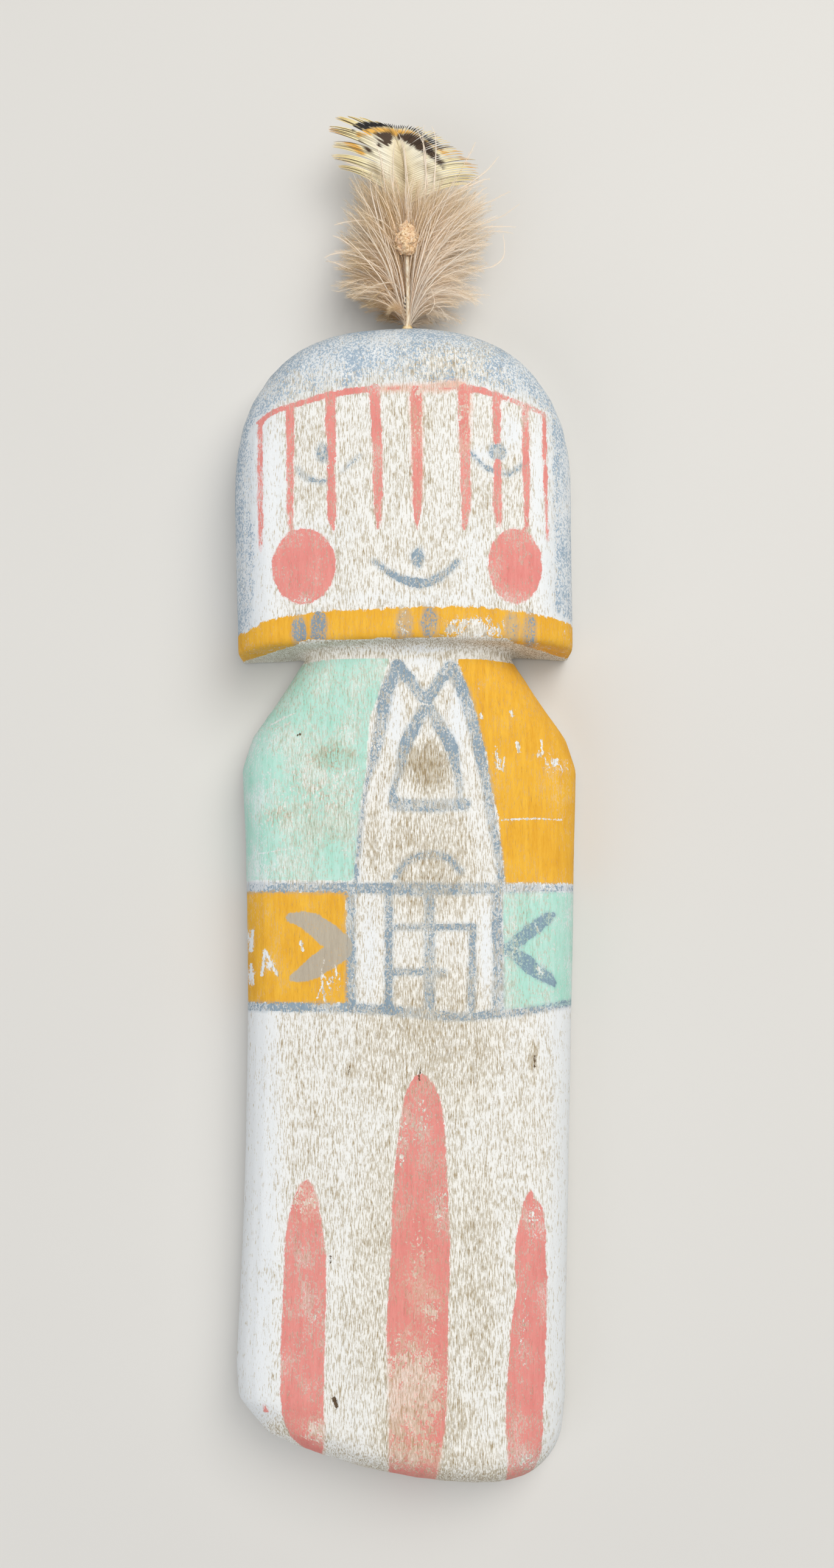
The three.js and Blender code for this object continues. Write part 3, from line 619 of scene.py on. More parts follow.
# Mineral paints bound with little glue: matte, a bit chalky, worn where the grain stands proud.
# thin is the share worn away all over, patchy is how much that comes and goes, and stain is what the
# pores still hold there; fibrous is how far the wear follows the grain, and flakes is how much paint
# comes off in the worn patches; soft is a brushed edge's width and ragged how far it wanders, in mm
paints = {
    "skyWash": dict(
        layout=skyPaint, colour="#7f99b0", tint="#b3c5d2", cover=0.92, thin=0.34, patchy=0.34,
        stain=0.20, fibrous=0.05, flakes=0.8, ragged=1.2, soft=1.4,
    ),
    "mintGreen": dict(
        layout=mintPaint, colour="#94d4be", tint="#cceae0", cover=0.94, thin=0.26, patchy=0.34,
        stain=0.42, fibrous=0.60, flakes=0.7, ragged=0.35, soft=0.20,
    ),
    "yellowOchre": dict(
        layout=ochrePaint, colour="#dc9b1c", tint="#f5bf3e", cover=0.99, thin=0.12, patchy=0.30,
        stain=0.80, fibrous=0.90, flakes=1.0, ragged=0.60, soft=0.12,
    ),
    "slateBlue": dict(
        layout=bluePaint, colour="#6f8799", tint="#96aab8", cover=0.94, thin=0.31, patchy=0.37,
        stain=0.33, fibrous=0.45, flakes=0.8, ragged=0.45, soft=0.33,
    ),
    "warmGrey": dict(
        layout=greyPaint, colour="#aaa293", tint="#bfb8a8", cover=0.94, thin=0.14, patchy=0.20,
        stain=0.70, fibrous=0.40, flakes=0.6, ragged=0.30, soft=0.14,
    ),
    "rubbedRed": dict(
        layout=rubbedPaint, colour="#e09a80", tint="#ecb89c", cover=0.74, thin=0.30, patchy=0.20,
        stain=0.55, fibrous=0.70, flakes=0.2, ragged=0.50, soft=0.50,
    ),
    "redEarth": dict(
        layout=redPaint, colour="#da7b74", tint="#eb9a90", cover=0.97, thin=0.20, patchy=0.34,
        stain=0.42, fibrous=0.75, flakes=1.0, ragged=0.34, soft=0.14,
    ),
}

ground = {
    "coolWhite": "#e8ebec",  # on the sides, where no hand has rubbed
    "warmWhite": "#f1efe8",
    "thinWhite": "#cac2b1",
    "woodLight": "#c0b08f",
    "woodDark": "#9b886a",
    "pore": "#8b7a60",
    "crack": "#5f4c37",
    "dirt": "#d9c9a2",
    "coats": [(0.62, 0.06), (0.82, 0.28)],  # how much rubbing wears a coat, and what is gone everywhere
    "untouched": -0.11,  # less is gone where no hand has rubbed
    "grime": 0.30,
    "paintedDownTo": (2.9, 3.9),  # height on the sides
    "reliefDepth": 0.08 * mm,
    # cells of the patterns across, along and through the wood; the grain's vessels are really 0.1 mm
    # wide and are drawn nearly twice as wide, so that they show
    "patterns": {
        "fibre": dict(cell=(0.17, 1.30, 0.40), detail=2.0, roughness=0.6),
        "streak": dict(cell=(0.60, 7.0, 1.6), detail=3.0, roughness=0.6),
        "grit": dict(cell=(0.32, 0.44, 0.32), detail=3.0, roughness=0.7),
        "cloud": dict(cell=(4.5, 6.5, 5.0), detail=4.0, roughness=0.6),
        "wobble": dict(cell=(1.1, 1.8, 1.2), detail=4.0, roughness=0.7),
        "tick": dict(cell=(0.26, 1.40, 0.60), detail=1.0, roughness=0.5),
        "vein": dict(cell=(0.70, 9.50, 2.0), detail=2.0, roughness=0.5),
    },
}


def paintedWoodMaterial():
    # cottonwood root under brushed kaolin and mineral paint: dead matte, streaked by the fine grain
    material, add = newMaterial("kaolinAndMineralPaintOnCottonwood")
    place = add("ShaderNodeTexCoord", out="Object")
    inMm = add("ShaderNodeVectorMath", {"operation": "SCALE"}, i0=place, Scale=1 / mm)
    axes = add("ShaderNodeSeparateXYZ", Vector=inMm).node.outputs
    made = {}
    for name, pattern in ground["patterns"].items():
        # noise with features of the cell's size, spread to the range 0 to 1
        squeezed = add("ShaderNodeVectorMath", times, i0=inMm, i1=[1 / c for c in pattern["cell"]])
        grains = add(
            noise, Vector=squeezed, Scale=1.0, Detail=pattern["detail"], Roughness=pattern["roughness"]
        )
        made[name] = add(ranger, i0=grains, i1=0.32, i2=0.68)
    fibre, streak, grit, cloud = made["fibre"], made["streak"], made["grit"], made["cloud"]
    bare, lost, scratched, marked = (
        add(stored, {"attribute_name": name}, out="Fac")
        for name in ("bareWood", "lostPaint", "scratches", "darkMarks")
    )

    # raw wood
    woodTone = add(maths, timesPlus, i0=streak, i1=0.6, i2=add(maths, times, i0=fibre, i1=0.4))
    woods = [linearColour(ground[tone]) for tone in ("woodDark", "woodLight")]
    wood = add(mixer, colours, out=2, i0=woodTone, i6=woods[0], i7=woods[1])

    # whitewash, scrubbed off the ridges of the grain; grip is high where it holds best
    held = add(maths, timesPlus, i0=streak, i1=0.12, i2=add(maths, times, i0=grit, i1=0.22))
    grip = add(maths, timesPlus, i0=fibre, i1=0.66, i2=held)
    worn = add(maths, timesPlus, i0=cloud, i1=0.10, i2=add(maths, times, i0=bare, i1=0.80))
    clean = add(ranger, i0=bare, i1=0.10, i2=0.0)
    coats = []
    for share, low in ground["coats"]:
        edge = add(maths, timesPlus, i0=worn, i1=share, i2=low)
        edge = add(maths, timesPlus, i0=clean, i1=ground["untouched"], i2=edge)
        edges = [add(maths, kind, i0=edge, i1=0.10) for kind in (minus, plus)]
        coats.append(add(ranger, smooth, i0=grip, i1=edges[0], i2=edges[1]))
    thinCoat, fullCoat = coats
    warmth = add(ranger, i0=bare, i1=0.02, i2=0.30)
    whites = [linearColour(ground[tone]) for tone in ("coolWhite", "warmWhite")]
    white = add(mixer, colours, out=2, i0=warmth, i6=whites[0], i7=whites[1])
    coat = add(mixer, colours, out=2, i0=thinCoat, i6=wood, i7=linearColour(ground["thinWhite"]))
    colour = add(mixer, colours, out=2, i0=fullCoat, i6=coat, i7=white)

    # open pores, a few long checks where the wood is bare, and the knots
    poreEdge = add(maths, timesPlus, i0=bare, i1=-0.40, i2=1.08)
    pores = add(ranger, smooth, i0=made["tick"], i1=poreEdge, i2=add(maths, plus, i0=poreEdge, i1=0.12))
    opened = add(maths, times, i0=pores, i1=0.5)
    colour = add(mixer, colours, out=2, i0=opened, i6=colour, i7=linearColour(ground["pore"]))
    offVein = add(maths, {"operation": "ABSOLUTE"}, i0=add(maths, minus, i0=made["vein"], i1=0.5))
    checkWidth = add(maths, timesPlus, i0=bare, i1=0.05, i2=-0.010)
    checkEdge = add(maths, plus, i0=checkWidth, i1=0.02)
    checks = add(ranger, smooth, i0=offVein, i1=checkEdge, i2=checkWidth)
    gaps = add(ranger, smooth, i0=made["tick"], i1=0.40, i2=0.70, i4=0.5)
    checks = add(maths, times, i0=checks, i1=gaps)
    knot = add(maths, timesPlus, i0=grit, i1=0.3, i2=marked)
    knots = add(ranger, smooth, i0=knot, i1=0.25, i2=0.08)

    # each paint over the last; it runs down the sides and stops raggedly short of the back
    sideEdge = add(maths, timesPlus, i0=made["wobble"], i1=2.4, i2=axes["Z"])
    unpainted, painted = ground["paintedDownTo"]
    side = add(ranger, smooth, i0=sideEdge, i1=unpainted, i2=painted)
    thickness = add(maths, times, i0=fullCoat, i1=0.35)
    wander = add(maths, timesPlus, i0=grit, i1=0.55, i2=add(maths, minus, i0=made["wobble"], i1=0.775))
    broken = add(maths, timesPlus, i0=grit, i1=0.42, i2=add(maths, times, i0=made["wobble"], i1=0.58))
    sound = add(ranger, smooth, i0=add(maths, minus, i0=broken, i1=lost), i1=-0.05, i2=0.05)
    scratch = add(maths, timesPlus, i0=grit, i1=0.35, i2=scratched)
    sound = add(maths, lesser, i0=sound, i1=add(ranger, smooth, i0=scratch, i1=0.10, i2=0.22))
    chipped = add(maths, minus, i0=1.0, i1=sound)
    fineTone = add(maths, timesPlus, i0=streak, i1=0.40, i2=add(maths, times, i0=fibre, i1=0.25))
    fineTone = add(maths, timesPlus, i0=cloud, i1=0.35, i2=fineTone)
    for name, paint in paints.items():
        distance = add(stored, {"attribute_name": name}, out="Fac")
        distance = add(maths, timesPlus, i0=wander, i1=paint["ragged"], i2=distance)
        outside = add(ranger, smooth, i0=distance, i1=-paint["soft"], i2=paint["soft"])
        byGrit = add(maths, times, i0=grit, i1=1 - paint["fibrous"])
        hold = add(maths, timesPlus, i0=grip, i1=paint["fibrous"], i2=byGrit)
        loss = add(maths, timesPlus, i0=lost, i1=0.30, i2=paint["thin"])
        loss = add(maths, timesPlus, i0=cloud, i1=paint["patchy"], i2=loss)
        edge = add(maths, timesPlus, i0=outside, i1=1.2, i2=loss)
        edges = [add(maths, kind, i0=edge, i1=0.07) for kind in (minus, plus)]
        kept = add(ranger, smooth, i0=hold, i1=edges[0], i2=edges[1])
        stain = add(maths, times, i0=add(maths, minus, i0=1.0, i1=outside), i1=paint["stain"])
        left = add(maths, timesPlus, i0=chipped, i1=-paint["flakes"], i2=1.0)
        amount = add(maths, times, i0=add(maths, larger, i0=kept, i1=stain), i1=left)
        amount = add(maths, times, i0=add(maths, times, i0=amount, i1=side), i1=paint["cover"])
        pigments = [linearColour(paint[tone]) for tone in ("colour", "tint")]
        pigment = add(mixer, colours, out=2, i0=fineTone, i6=pigments[0], i7=pigments[1])
        colour = add(mixer, colours, out=2, i0=amount, i6=colour, i7=pigment)
        laidOn = add(maths, timesPlus, i0=amount, i1=0.5, i2=0.35)
        thickness = add(maths, larger, i0=thickness, i1=laidOn)

    # checks and knots break the paint too; handling grime lies in the low places of the worn middle
    opening = add(maths, larger, i0=add(maths, times, i0=checks, i1=0.5), i1=knots)
    colour = add(mixer, colours, out=2, i0=opening, i6=colour, i7=linearColour(ground["crack"]))
    grime = add(maths, times, i0=add(maths, times, i0=bare, i1=cloud), i1=ground["grime"])
    colour = add(mixer, darken, out=2, i0=grime, i6=colour, i7=linearColour(ground["dirt"]))

    fineRelief = add(maths, timesPlus, i0=grit, i1=0.18, i2=thickness)
    relief = add(maths, timesPlus, i0=fibre, i1=0.30, i2=fineRelief)
    relief = add(maths, minus, i0=relief, i1=add(maths, larger, i0=opening, i1=opened))
    bump = add("ShaderNodeBump", Strength=0.6, Distance=ground["reliefDepth"], Height=relief)
    roughness = add(maths, timesPlus, i0=thickness, i1=0.12, i2=0.74)
    shader = add(shiny, **{
        "Base Color": colour, "Roughness": roughness, "Normal": bump, "IOR": 1.5,
        "Specular IOR Level": 0.3,
    })
    add("ShaderNodeOutputMaterial", Surface=shader)
    return material


# The feather's places come from the frame: the glue ring round its foot and the lump on its shaft
glueLow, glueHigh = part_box("glue_ring")
lumpLow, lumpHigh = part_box("shaft_lump")
lumpMiddle = np.array((lumpLow + lumpHigh) / 2 / mm)
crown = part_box("carved_figure")[1].y / mm
shaftX = (glueLow.x + glueHigh.x) / 2 / mm
shaftZ = (glueLow.z + glueHigh.z) / 2 / mm
random = np.random.default_rng(27)


def barTemplate(name, sides, rings, endShare):
    # a thin bar one unit long, extruded ring by ring and drawn in towards its end; two rings make
    # a spike
    step = 1 / (rings - 1)
    bpy.ops.object.select_all(action="DESELECT")
    bpy.ops.mesh.primitive_cone_add(
        vertices=sides, radius1=1, radius2=0 if rings == 2 else 1, depth=step, end_fill_type="NGON",
        location=(0, 0, step / 2),
    )
    bar = bpy.context.object
    bar.name = name
    bpy.ops.object.transform_apply(location=True, rotation=False, scale=False)
    bpy.ops.object.mode_set(mode="EDIT")
    bpy.ops.mesh.select_all(action="DESELECT")
    shape = bmesh.from_edit_mesh(bar.data)
    endFace = max(shape.faces, key=lambda face: face.normal.z)
    endFace.select_set(rings > 2)
    bmesh.update_edit_mesh(bar.data)
    width = 1
    for i in range(2, rings):
        wanted = 1 - (1 - endShare) * (i / (rings - 1)) ** 1.8
        bpy.ops.mesh.extrude_region_move(TRANSFORM_OT_translate={"value": (0, 0, step)})
        bpy.ops.transform.resize(value=(wanted / width, wanted / width, 1))
        width = wanted
    bpy.ops.object.mode_set(mode="OBJECT")
    return bar


def directionsAlong(paths):
    along = np.gradient(paths, axis=1)
    along /= np.linalg.norm(along, axis=2, keepdims=True) + 1e-12
    across = np.cross(along, (0.02, 0.01, 1.0))
    across /= np.linalg.norm(across, axis=2, keepdims=True) + 1e-12
    return along, across


def growAlong(name, template, paths, widths, pale, upBarb, flat=1.0):
    # one copy of the template bent along each path, which holds as many places as the template has
    # rings; each point knows how pale its barb is, the barb's own tint and how far up the barb it sits
    shape = pointsOf(template)
    ring = np.rint(shape[:, 2] * (paths.shape[1] - 1)).astype(int)
    along, across = directionsAlong(paths)
    up = np.cross(along, across)
    section = shape[:, 0, None] * across[:, ring] + flat * shape[:, 1, None] * up[:, ring]
    places = (paths[:, ring] + widths[:, None, None] * section) * mm
    faces = [list(p.vertices) for p in template.data.polygons]
    sizes = np.tile([len(f) for f in faces], len(paths))
    corners = np.concatenate(faces)[None] + len(shape) * np.arange(len(paths))[:, None]
    mesh = bpy.data.meshes.new(name)
    mesh.vertices.add(places.shape[0] * places.shape[1])
    mesh.vertices.foreach_set("co", places.astype(np.float32).ravel())
    mesh.loops.add(corners.size)
    mesh.loops.foreach_set("vertex_index", corners.ravel().astype(np.int32))
    mesh.polygons.add(len(sizes))
    mesh.polygons.foreach_set("loop_start", (np.cumsum(sizes) - sizes).astype(np.int32))
    mesh.update(calc_edges=True)
    mesh.validate()
    mesh.shade_flat()
    piece = bpy.data.objects.new(name, mesh)
    scene.collection.objects.link(piece)
    addAttribute(piece, "pale", np.repeat(pale, len(ring)))
    addAttribute(piece, "ownTint", np.repeat(random.uniform(0, 1, len(paths)), len(ring)))
    addAttribute(piece, "upBarb", upBarb[:, ring].ravel())
    return piece


def bezierPaths(starts, middles, ends, steps):
    t = np.linspace(0, 1, steps)[None, :, None]
    return (1 - t) ** 2 * starts[:, None] + 2 * t * (1 - t) * middles[:, None] + t ** 2 * ends[:, None]


def evenClimb(count, steps, low=0.0):
    return np.tile(np.linspace(low, 1, steps), (count, 1))


def heading(angle):
    # a direction in the feather's plane, in degrees clockwise from straight up the doll
    turned = np.radians(angle)
    return np.stack([np.sin(turned), np.cos(turned), np.zeros_like(turned)], -1)


# The down: soft locks of barbs that rise beside the shaft and fan out to the tuft's rim; lengths are
# in millimetres, angles in degrees
down = {
    "fan": (0.4, 100.0),  # the place that the barbs' ends fan out from
    "rim": [
        (-3.6, 94.8), (-6.1, 97.0), (-9.9, 98.6), (-12.4, 101.2), (-11.8, 103.7), (-13.0, 105.7),
        (-12.2, 108.2), (-11.6, 110.5), (-11.2, 113.6), (-10.2, 117.2), (-8.6, 122.0), (-4.0, 123.2),
        (0.6, 121.0), (5.0, 121.4), (11.4, 121.6), (14.2, 118.6), (15.6, 115.0), (16.2, 111.5),
        (15.0, 109.0), (14.3, 106.0), (13.3, 102.6), (13.7, 99.2), (11.9, 96.4), (8.4, 95.0),
        (4.9, 94.8),
    ],
    "halfDepth": 4.7,
    "reach": 21.0,  # from there to the rim, for the long hairs
    "upwards": 2.1,  # how strongly the barbs crowd to where the tuft is long
    "locks": 130,
    "barbsPerLock": 7,
    "stray": 2.6,  # how far a barb strays from its lock
    "loose": 0.22,  # the share of barbs that lie in no lock
    "roots": (0.9, 1.2, 13.5),  # lowest over the crown, spread at the sides, more of it in the middle
    "quillShows": (8, 9.0),  # no barb lies over the quill within this angle and height
    "besideShaft": (0.15, 0.45),  # how far from the shaft's middle a barb starts
    "waves": (0.34, 0.20),  # how far a barb waves sideways and in depth
    "barbRings": 9,
    "barbHalfWidth": 0.075,
    "fluffPerBarb": 70,
    "fluffLength": (0.8, 2.5),
    "fluffHalfWidth": 0.020,
    "fluffAngle": (14.0, 42.0),
    "hairRings": 15,
    "hairHalfWidth": (0.080, 0.125),
    "fluffPerHair": 60,
    "hairFluffLength": (0.4, 1.1),
    "flat": 0.60,  # a barb's thickness as a share of its width
}
down["lockTones"] = np.random.default_rng(5).normal(0, 0.20, down["locks"])


def downPaths():
    # the middle line of every barb of the down in order of its angle, and how pale each is
    rim, fan = np.array(down["rim"]), np.array(down["fan"])
    rimAngle = np.degrees(np.arctan2(rim[:, 0] - fan[0], rim[:, 1] - fan[1]))
    rimReach = np.hypot(rim[:, 0] - fan[0], rim[:, 1] - fan[1])
    fine = np.linspace(rimAngle[0], rimAngle[-1], 400)
    share = np.cumsum(np.interp(fine, rimAngle, rimReach) ** down["upwards"])
    share /= share[-1]
    locks, each = down["locks"], down["barbsPerLock"]
    count = locks * each
    lockAngle = np.interp((np.arange(locks) + random.uniform(0.1, 0.9, locks)) / locks, share, fine)
    lockReach = random.permutation(np.linspace(0.50, 1.0, locks) ** 0.38)
    lockLayer = random.permutation(np.linspace(-0.95, 1.0, locks))
    angle = np.repeat(lockAngle, each) + random.normal(0, down["stray"], count)
    loose = random.uniform(size=count) < down["loose"]
    angle = np.where(loose, np.interp(random.uniform(size=count), share, fine), angle)
    angle = np.clip(angle, rimAngle[0], rimAngle[-1])
    order = np.argsort(angle)
    angle = angle[order]
    reach = (np.repeat(lockReach, each) * random.uniform(0.88, 1.03, count))[order]
    layer = (np.repeat(lockLayer, each) + random.normal(0, 0.06, count))[order]
    limit = np.interp(angle, rimAngle, rimReach)
    middleZ = (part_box("feather")[0].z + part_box("feather")[1].z) / 2 / mm
    ends = np.array([*fan, middleZ]) + heading(angle) * (limit * reach)[:, None]
    upright = 1 - np.abs(angle) / 150
    lowest, atSides, inMiddle = down["roots"]
    rise = lowest + random.uniform(0, 1, count) ** 1.2 * (atSides + inMiddle * upright)
    quillAngle, quillHeight = down["quillShows"]
    overQuill = (np.abs(angle) < quillAngle) & (rise < quillHeight)
    layer = np.where(overQuill, np.minimum(layer, -0.1), layer)
    besideShaft = shaftX + random.uniform(*down["besideShaft"], count) * np.sign(angle)
    roots = np.stack([besideShaft, crown + rise, np.full(count, shaftZ)], -1)
    length = np.linalg.norm(ends - roots, axis=1, keepdims=True)
    towards = np.degrees(np.arctan2(ends[:, 0] - roots[:, 0], ends[:, 1] - roots[:, 1]))
    middles = roots + heading(towards * 0.42 + random.normal(0, 7, count)) * length * 0.52
    paths = bezierPaths(roots, middles, ends, down["barbRings"])
    t = np.linspace(0, 1, down["barbRings"])[None]
    fromFan = np.hypot(paths[:, :, 0] - fan[0], paths[:, :, 1] - fan[1])
    # the upright barbs keep their layer to the end, so some of them lie over the tip
    rimShare = (0.18 + 0.35 * upright ** 3)[:, None]
    bulge = rimShare + 0.82 * np.sqrt(np.clip(1 - (fromFan / limit[:, None]) ** 2, 0, 1))
    settle = np.clip(t / 0.4, 0, 1) ** 0.8
    paths[:, :, 2] += layer[:, None] * down["halfDepth"] * bulge * settle
    phase = random.uniform(0, 6.28, (count, 1))
    sideways, inDepth = down["waves"]
    paths[:, :, 0] += sideways * t * np.sin(9 * t + phase)
    paths[:, :, 2] += inDepth * t * np.cos(8 * t + 2 * phase)
    # barbs in the upper layers are made paler, which is painted light on the top of the tuft, so the
    # lower layers stay darker as painted shade; the rest is each barb's own tone
    pale = np.clip((angle - 10) / 90, 0, 1) * 0.45 + 0.2 * np.clip(layer, 0, 1)
    pale += random.uniform(0, 0.4, count) + np.repeat(down["lockTones"], each)[order]
    return paths, np.clip(pale, 0, 1)


# Single long hairs that stand out from the tuft or lie over the tip: x and y, then the layer they lie in
hairs = [
    [(10.1, 103.4), (12.5, 103.7), (14.7, 104.1), (16.4, 105.7), (16.6, 108.0), (16.4, 109.9), 0.5],
    [(9.2, 109.8), (15.0, 112.5), (16.7, 113.6), (19.3, 115.6), 0.5],
    [(10.0, 111.0), (15.6, 111.4), (18.7, 111.6), 0.3],
    [(10.5, 110.6), (15.6, 110.8), (18.1, 110.5), 0.1],
    [(10.1, 113.6), (15.3, 116.5), (17.8, 117.8), 0.4],
    [(8.6, 117.6), (13.4, 121.0), (15.8, 123.8), 0.6],
    [(8.4, 119.5), (10.9, 124.2), (11.9, 126.3), 0.6],
    [(9.2, 117.8), (12.8, 119.6), (14.3, 119.9), 0.5],
    [(9.7, 114.2), (12.6, 117.6), (13.8, 118.5), 0.4],
    [(8.9, 107.0), (12.8, 108.0), (14.6, 108.2), 0.4],
    [(-5.2, 121.0), (-10.0, 123.0), (-12.4, 124.0), 0.2],
    [(-7.4, 106.6), (-10.7, 109.1), (-12.1, 109.7), 0.3],
    [(-7.9, 106.6), (-11.8, 106.4), (-13.5, 105.7), 0.4],
    [(-13.3, 105.7), (-11.8, 104.9), (-8.9, 103.6), 0.4],
    [(-6.0, 112.6), (-9.9, 112.1), (-11.9, 111.6), 0.3],
    [(0.8, 95.8), (2.9, 98.4), (4.0, 100.1), (4.9, 97.5), (4.3, 95.8), (3.5, 95.2), 0.7],
    [(0.3, 112.5), (-0.1, 123.3), (-1.0, 127.6), (-1.7, 128.5), 0.7],
    [(0.8, 114.5), (-0.1, 124.8), (-0.6, 127.0), 0.6],
    [(3.2, 111.0), (3.5, 123.3), (2.7, 126.8), (1.6, 129.3), 0.8],
    [(3.8, 117.9), (3.0, 126.8), (3.2, 129.3), 0.7],
    [(4.7, 115.6), (5.2, 125.9), (4.5, 129.1), 0.8],
    [(-3.0, 114.5), (-4.2, 123.9), (-5.9, 126.8), (-7.2, 127.4), 0.7],
    [(-1.9, 113.3), (-2.0, 123.3), (-1.5, 126.8), 0.7],
    [(-1.0, 111.3), (-2.3, 119.3), (-2.5, 122.2), 0.8],
    [(-3.6, 107.6), (-5.8, 117.6), (-5.3, 121.0), 0.9],
    [(-1.2, 98.4), (-3.6, 109.7), (-2.5, 113.6), 0.95],
    [(-1.2, 100.7), (-4.7, 115.3), (-4.5, 119.3), 0.95],
    [(1.4, 100.7), (5.1, 115.3), (5.7, 119.3), 1.0],
    [(1.6, 101.8), (7.3, 115.9), (8.7, 119.3), 1.0],
    [(0.0, 112.0), (0.2, 119.3), (0.8, 121.0), 0.8],
    [(-1.0, 98.0), (-4.7, 110.8), (-8.0, 117.0), 1.0],
    [(1.2, 98.6), (4.3, 110.8), (3.0, 113.6), 1.0],
    [(-0.9, 96.8), (-6.5, 104.5), (-10.5, 109.0), 0.9],
    [(1.3, 97.0), (7.5, 103.8), (12.0, 107.5), 0.9],
    [(-0.8, 97.4), (-4.4, 105.8), (-9.2, 112.8), 0.95],
    [(1.2, 97.6), (5.6, 106.0), (11.4, 113.0), 0.95],
]


def hairPaths(rings):
    paths = []
    fan = np.array(down["fan"])
    t = np.linspace(0, 1, rings)
    for *line, layer in hairs:
        x, y = placesAlong(line, 8, t)
        fromFan = np.hypot(x - fan[0], y - fan[1]) / down["reach"]
        height = layer * down["halfDepth"] * (0.15 + 0.9 * np.sqrt(np.clip(1 - fromFan ** 2, 0, 1)))
        rising = np.clip(t / 0.35, 0, 1) ** 0.7  # each comes out of the down gradually
        paths.append(np.stack([x, y, shaftZ + 0.3 + height * rising], -1))
    return np.array(paths)


def fluffAround(paths, perBarb, lengths):
    # short fine side hairs in two rows along each path, and how far up it each one stands
    count, steps = paths.shape[:2]
    along, across = directionsAlong(paths)
    at = (np.arange(perBarb)[None] + random.uniform(0, 1, (count, perBarb))) / perBarb
    at = 0.10 + 0.88 * at
    low = np.minimum((at * (steps - 1)).astype(int), steps - 2)
    part = (at * (steps - 1) - low)[..., None]
    barb = np.arange(count)[:, None]
    foot = paths[barb, low] * (1 - part) + paths[barb, low + 1] * part
    side = np.where(np.arange(perBarb) % 2, 1.0, -1.0)[None, :, None]
    tilt = np.radians(random.uniform(*down["fluffAngle"], (count, perBarb)))[..., None]
    rise = random.normal(0, 0.30, (count, perBarb))[..., None]
    sideways = across[barb, low] * side + np.array((0, 0, 1.0)) * rise
    direction = along[barb, low] * np.cos(tilt) + sideways * np.sin(tilt)
    size = random.uniform(*lengths, (count, perBarb))
    size *= 0.45 + 0.55 * np.sin(np.pi * np.clip(at * 1.05, 0, 1))
    tips = foot + direction * size[..., None]
    return np.stack([foot, tips], 2).reshape(-1, 2, 3), at.ravel()


def downMaterial():
    # down is loose keratin fibre: matte, buff, and lit through from hair to hair
    material, add = newMaterial("buffDown")
    pale = add(stored, {"attribute_name": "pale"}, out="Fac")
    own = add(stored, {"attribute_name": "ownTint"}, out="Fac")
    climb = add(stored, {"attribute_name": "upBarb"}, out="Fac")
    # each barb runs from a darker buff at its root, deep in the tuft, to pale at its end: partly the
    # down's own colour, partly painted shade
    body = add(ramp, {"stops": [(0.0, "#cb8a50"), (0.35, "#fdc984"), (1.0, "#ffdda0")]}, Fac=climb)
    lighter = add(mixer, colours, out=2, i0=pale, i6=body, i7=linearColour("#fff2e0"))
    # the less pale barbs are darkened: painted shade on the tuft's lower layers, together with their own
    # tone
    toneAndPaintedShade = add(ranger, i0=pale, i2=0.55, i3=0.62, i4=1.0)
    shade = add(maths, times, i0=toneAndPaintedShade, i1=add(ranger, i0=own, i3=0.80, i4=1.0))
    colour = add(mixer, darken, out=2, i0=1.0, i6=lighter, i7=shade)
    face = add(shiny, **{
        "Base Color": colour, "Roughness": 0.8, "Specular IOR Level": 0.2, "Sheen Weight": 0.15,
        "Sheen Roughness": 0.5, "Sheen Tint": linearColour("#ffe2bd"),
    })
    through = add("ShaderNodeBsdfTranslucent", Color=colour)
    add("ShaderNodeOutputMaterial", Surface=add("ShaderNodeMixShader", i0=0.12, i1=face, i2=through))
    return material


def makeDown():
    barb = barTemplate("barbShape", 3, down["barbRings"], 0.25)
    hair = barTemplate("hairShape", 3, 2, 0.0)
    longHair = barTemplate("longHairShape", 4, down["hairRings"], 0.2)
    buff = downMaterial()
    paths, pale = downPaths()
    count = len(paths)
    widths = down["barbHalfWidth"] * random.uniform(0.6, 1.15, count)
    climb = evenClimb(count, down["barbRings"])
    # the barbs are drawn paler than their fluff: partly their own paler colour, partly a painted
    # highlight along them
    barbs = growAlong("downBarbs", barb, paths, widths, np.clip(pale + 0.6, 0, 1), climb, down["flat"])
    finishPiece(barbs, buff, "plumage", "feather")
    single = hairPaths(down["hairRings"])
    widths = random.uniform(*down["hairHalfWidth"], len(single))
    climb = evenClimb(len(single), down["hairRings"], 0.6)
    tone = np.full(len(single), 1.0)
    longOnes = growAlong("longHairs", longHair, single, widths, tone, climb, down["flat"])
    finishPiece(longOnes, buff, "plumage", "feather")
    parts = np.array_split(np.arange(count), 3)
    for name, part in zip(("leftFluff", "upperFluff", "rightFluff"), parts):
        lines, at = fluffAround(paths[part], down["fluffPerBarb"], down["fluffLength"])
        widths = down["fluffHalfWidth"] * random.uniform(0.7, 1.3, len(lines))
        tone = np.repeat(pale[part], down["fluffPerBarb"])
        climb = np.stack([at, np.clip(at + 0.1, 0, 1)], -1)
        fluff = growAlong(name, hair, lines, widths, tone, climb, down["flat"])
        finishPiece(fluff, buff, "plumage", "feather")
    lines, at = fluffAround(single, down["fluffPerHair"], down["hairFluffLength"])
    widths = np.full(len(lines), down["fluffHalfWidth"])
    tone = np.full(len(lines), 0.6)
    fluff = growAlong("hairFluff", hair, lines, widths, tone, np.stack([at, at], -1), down["flat"])
    finishPiece(fluff, buff, "plumage", "feather")
    for shape in (barb, hair, longHair):
        bpy.data.objects.remove(shape)
    print("down grown")


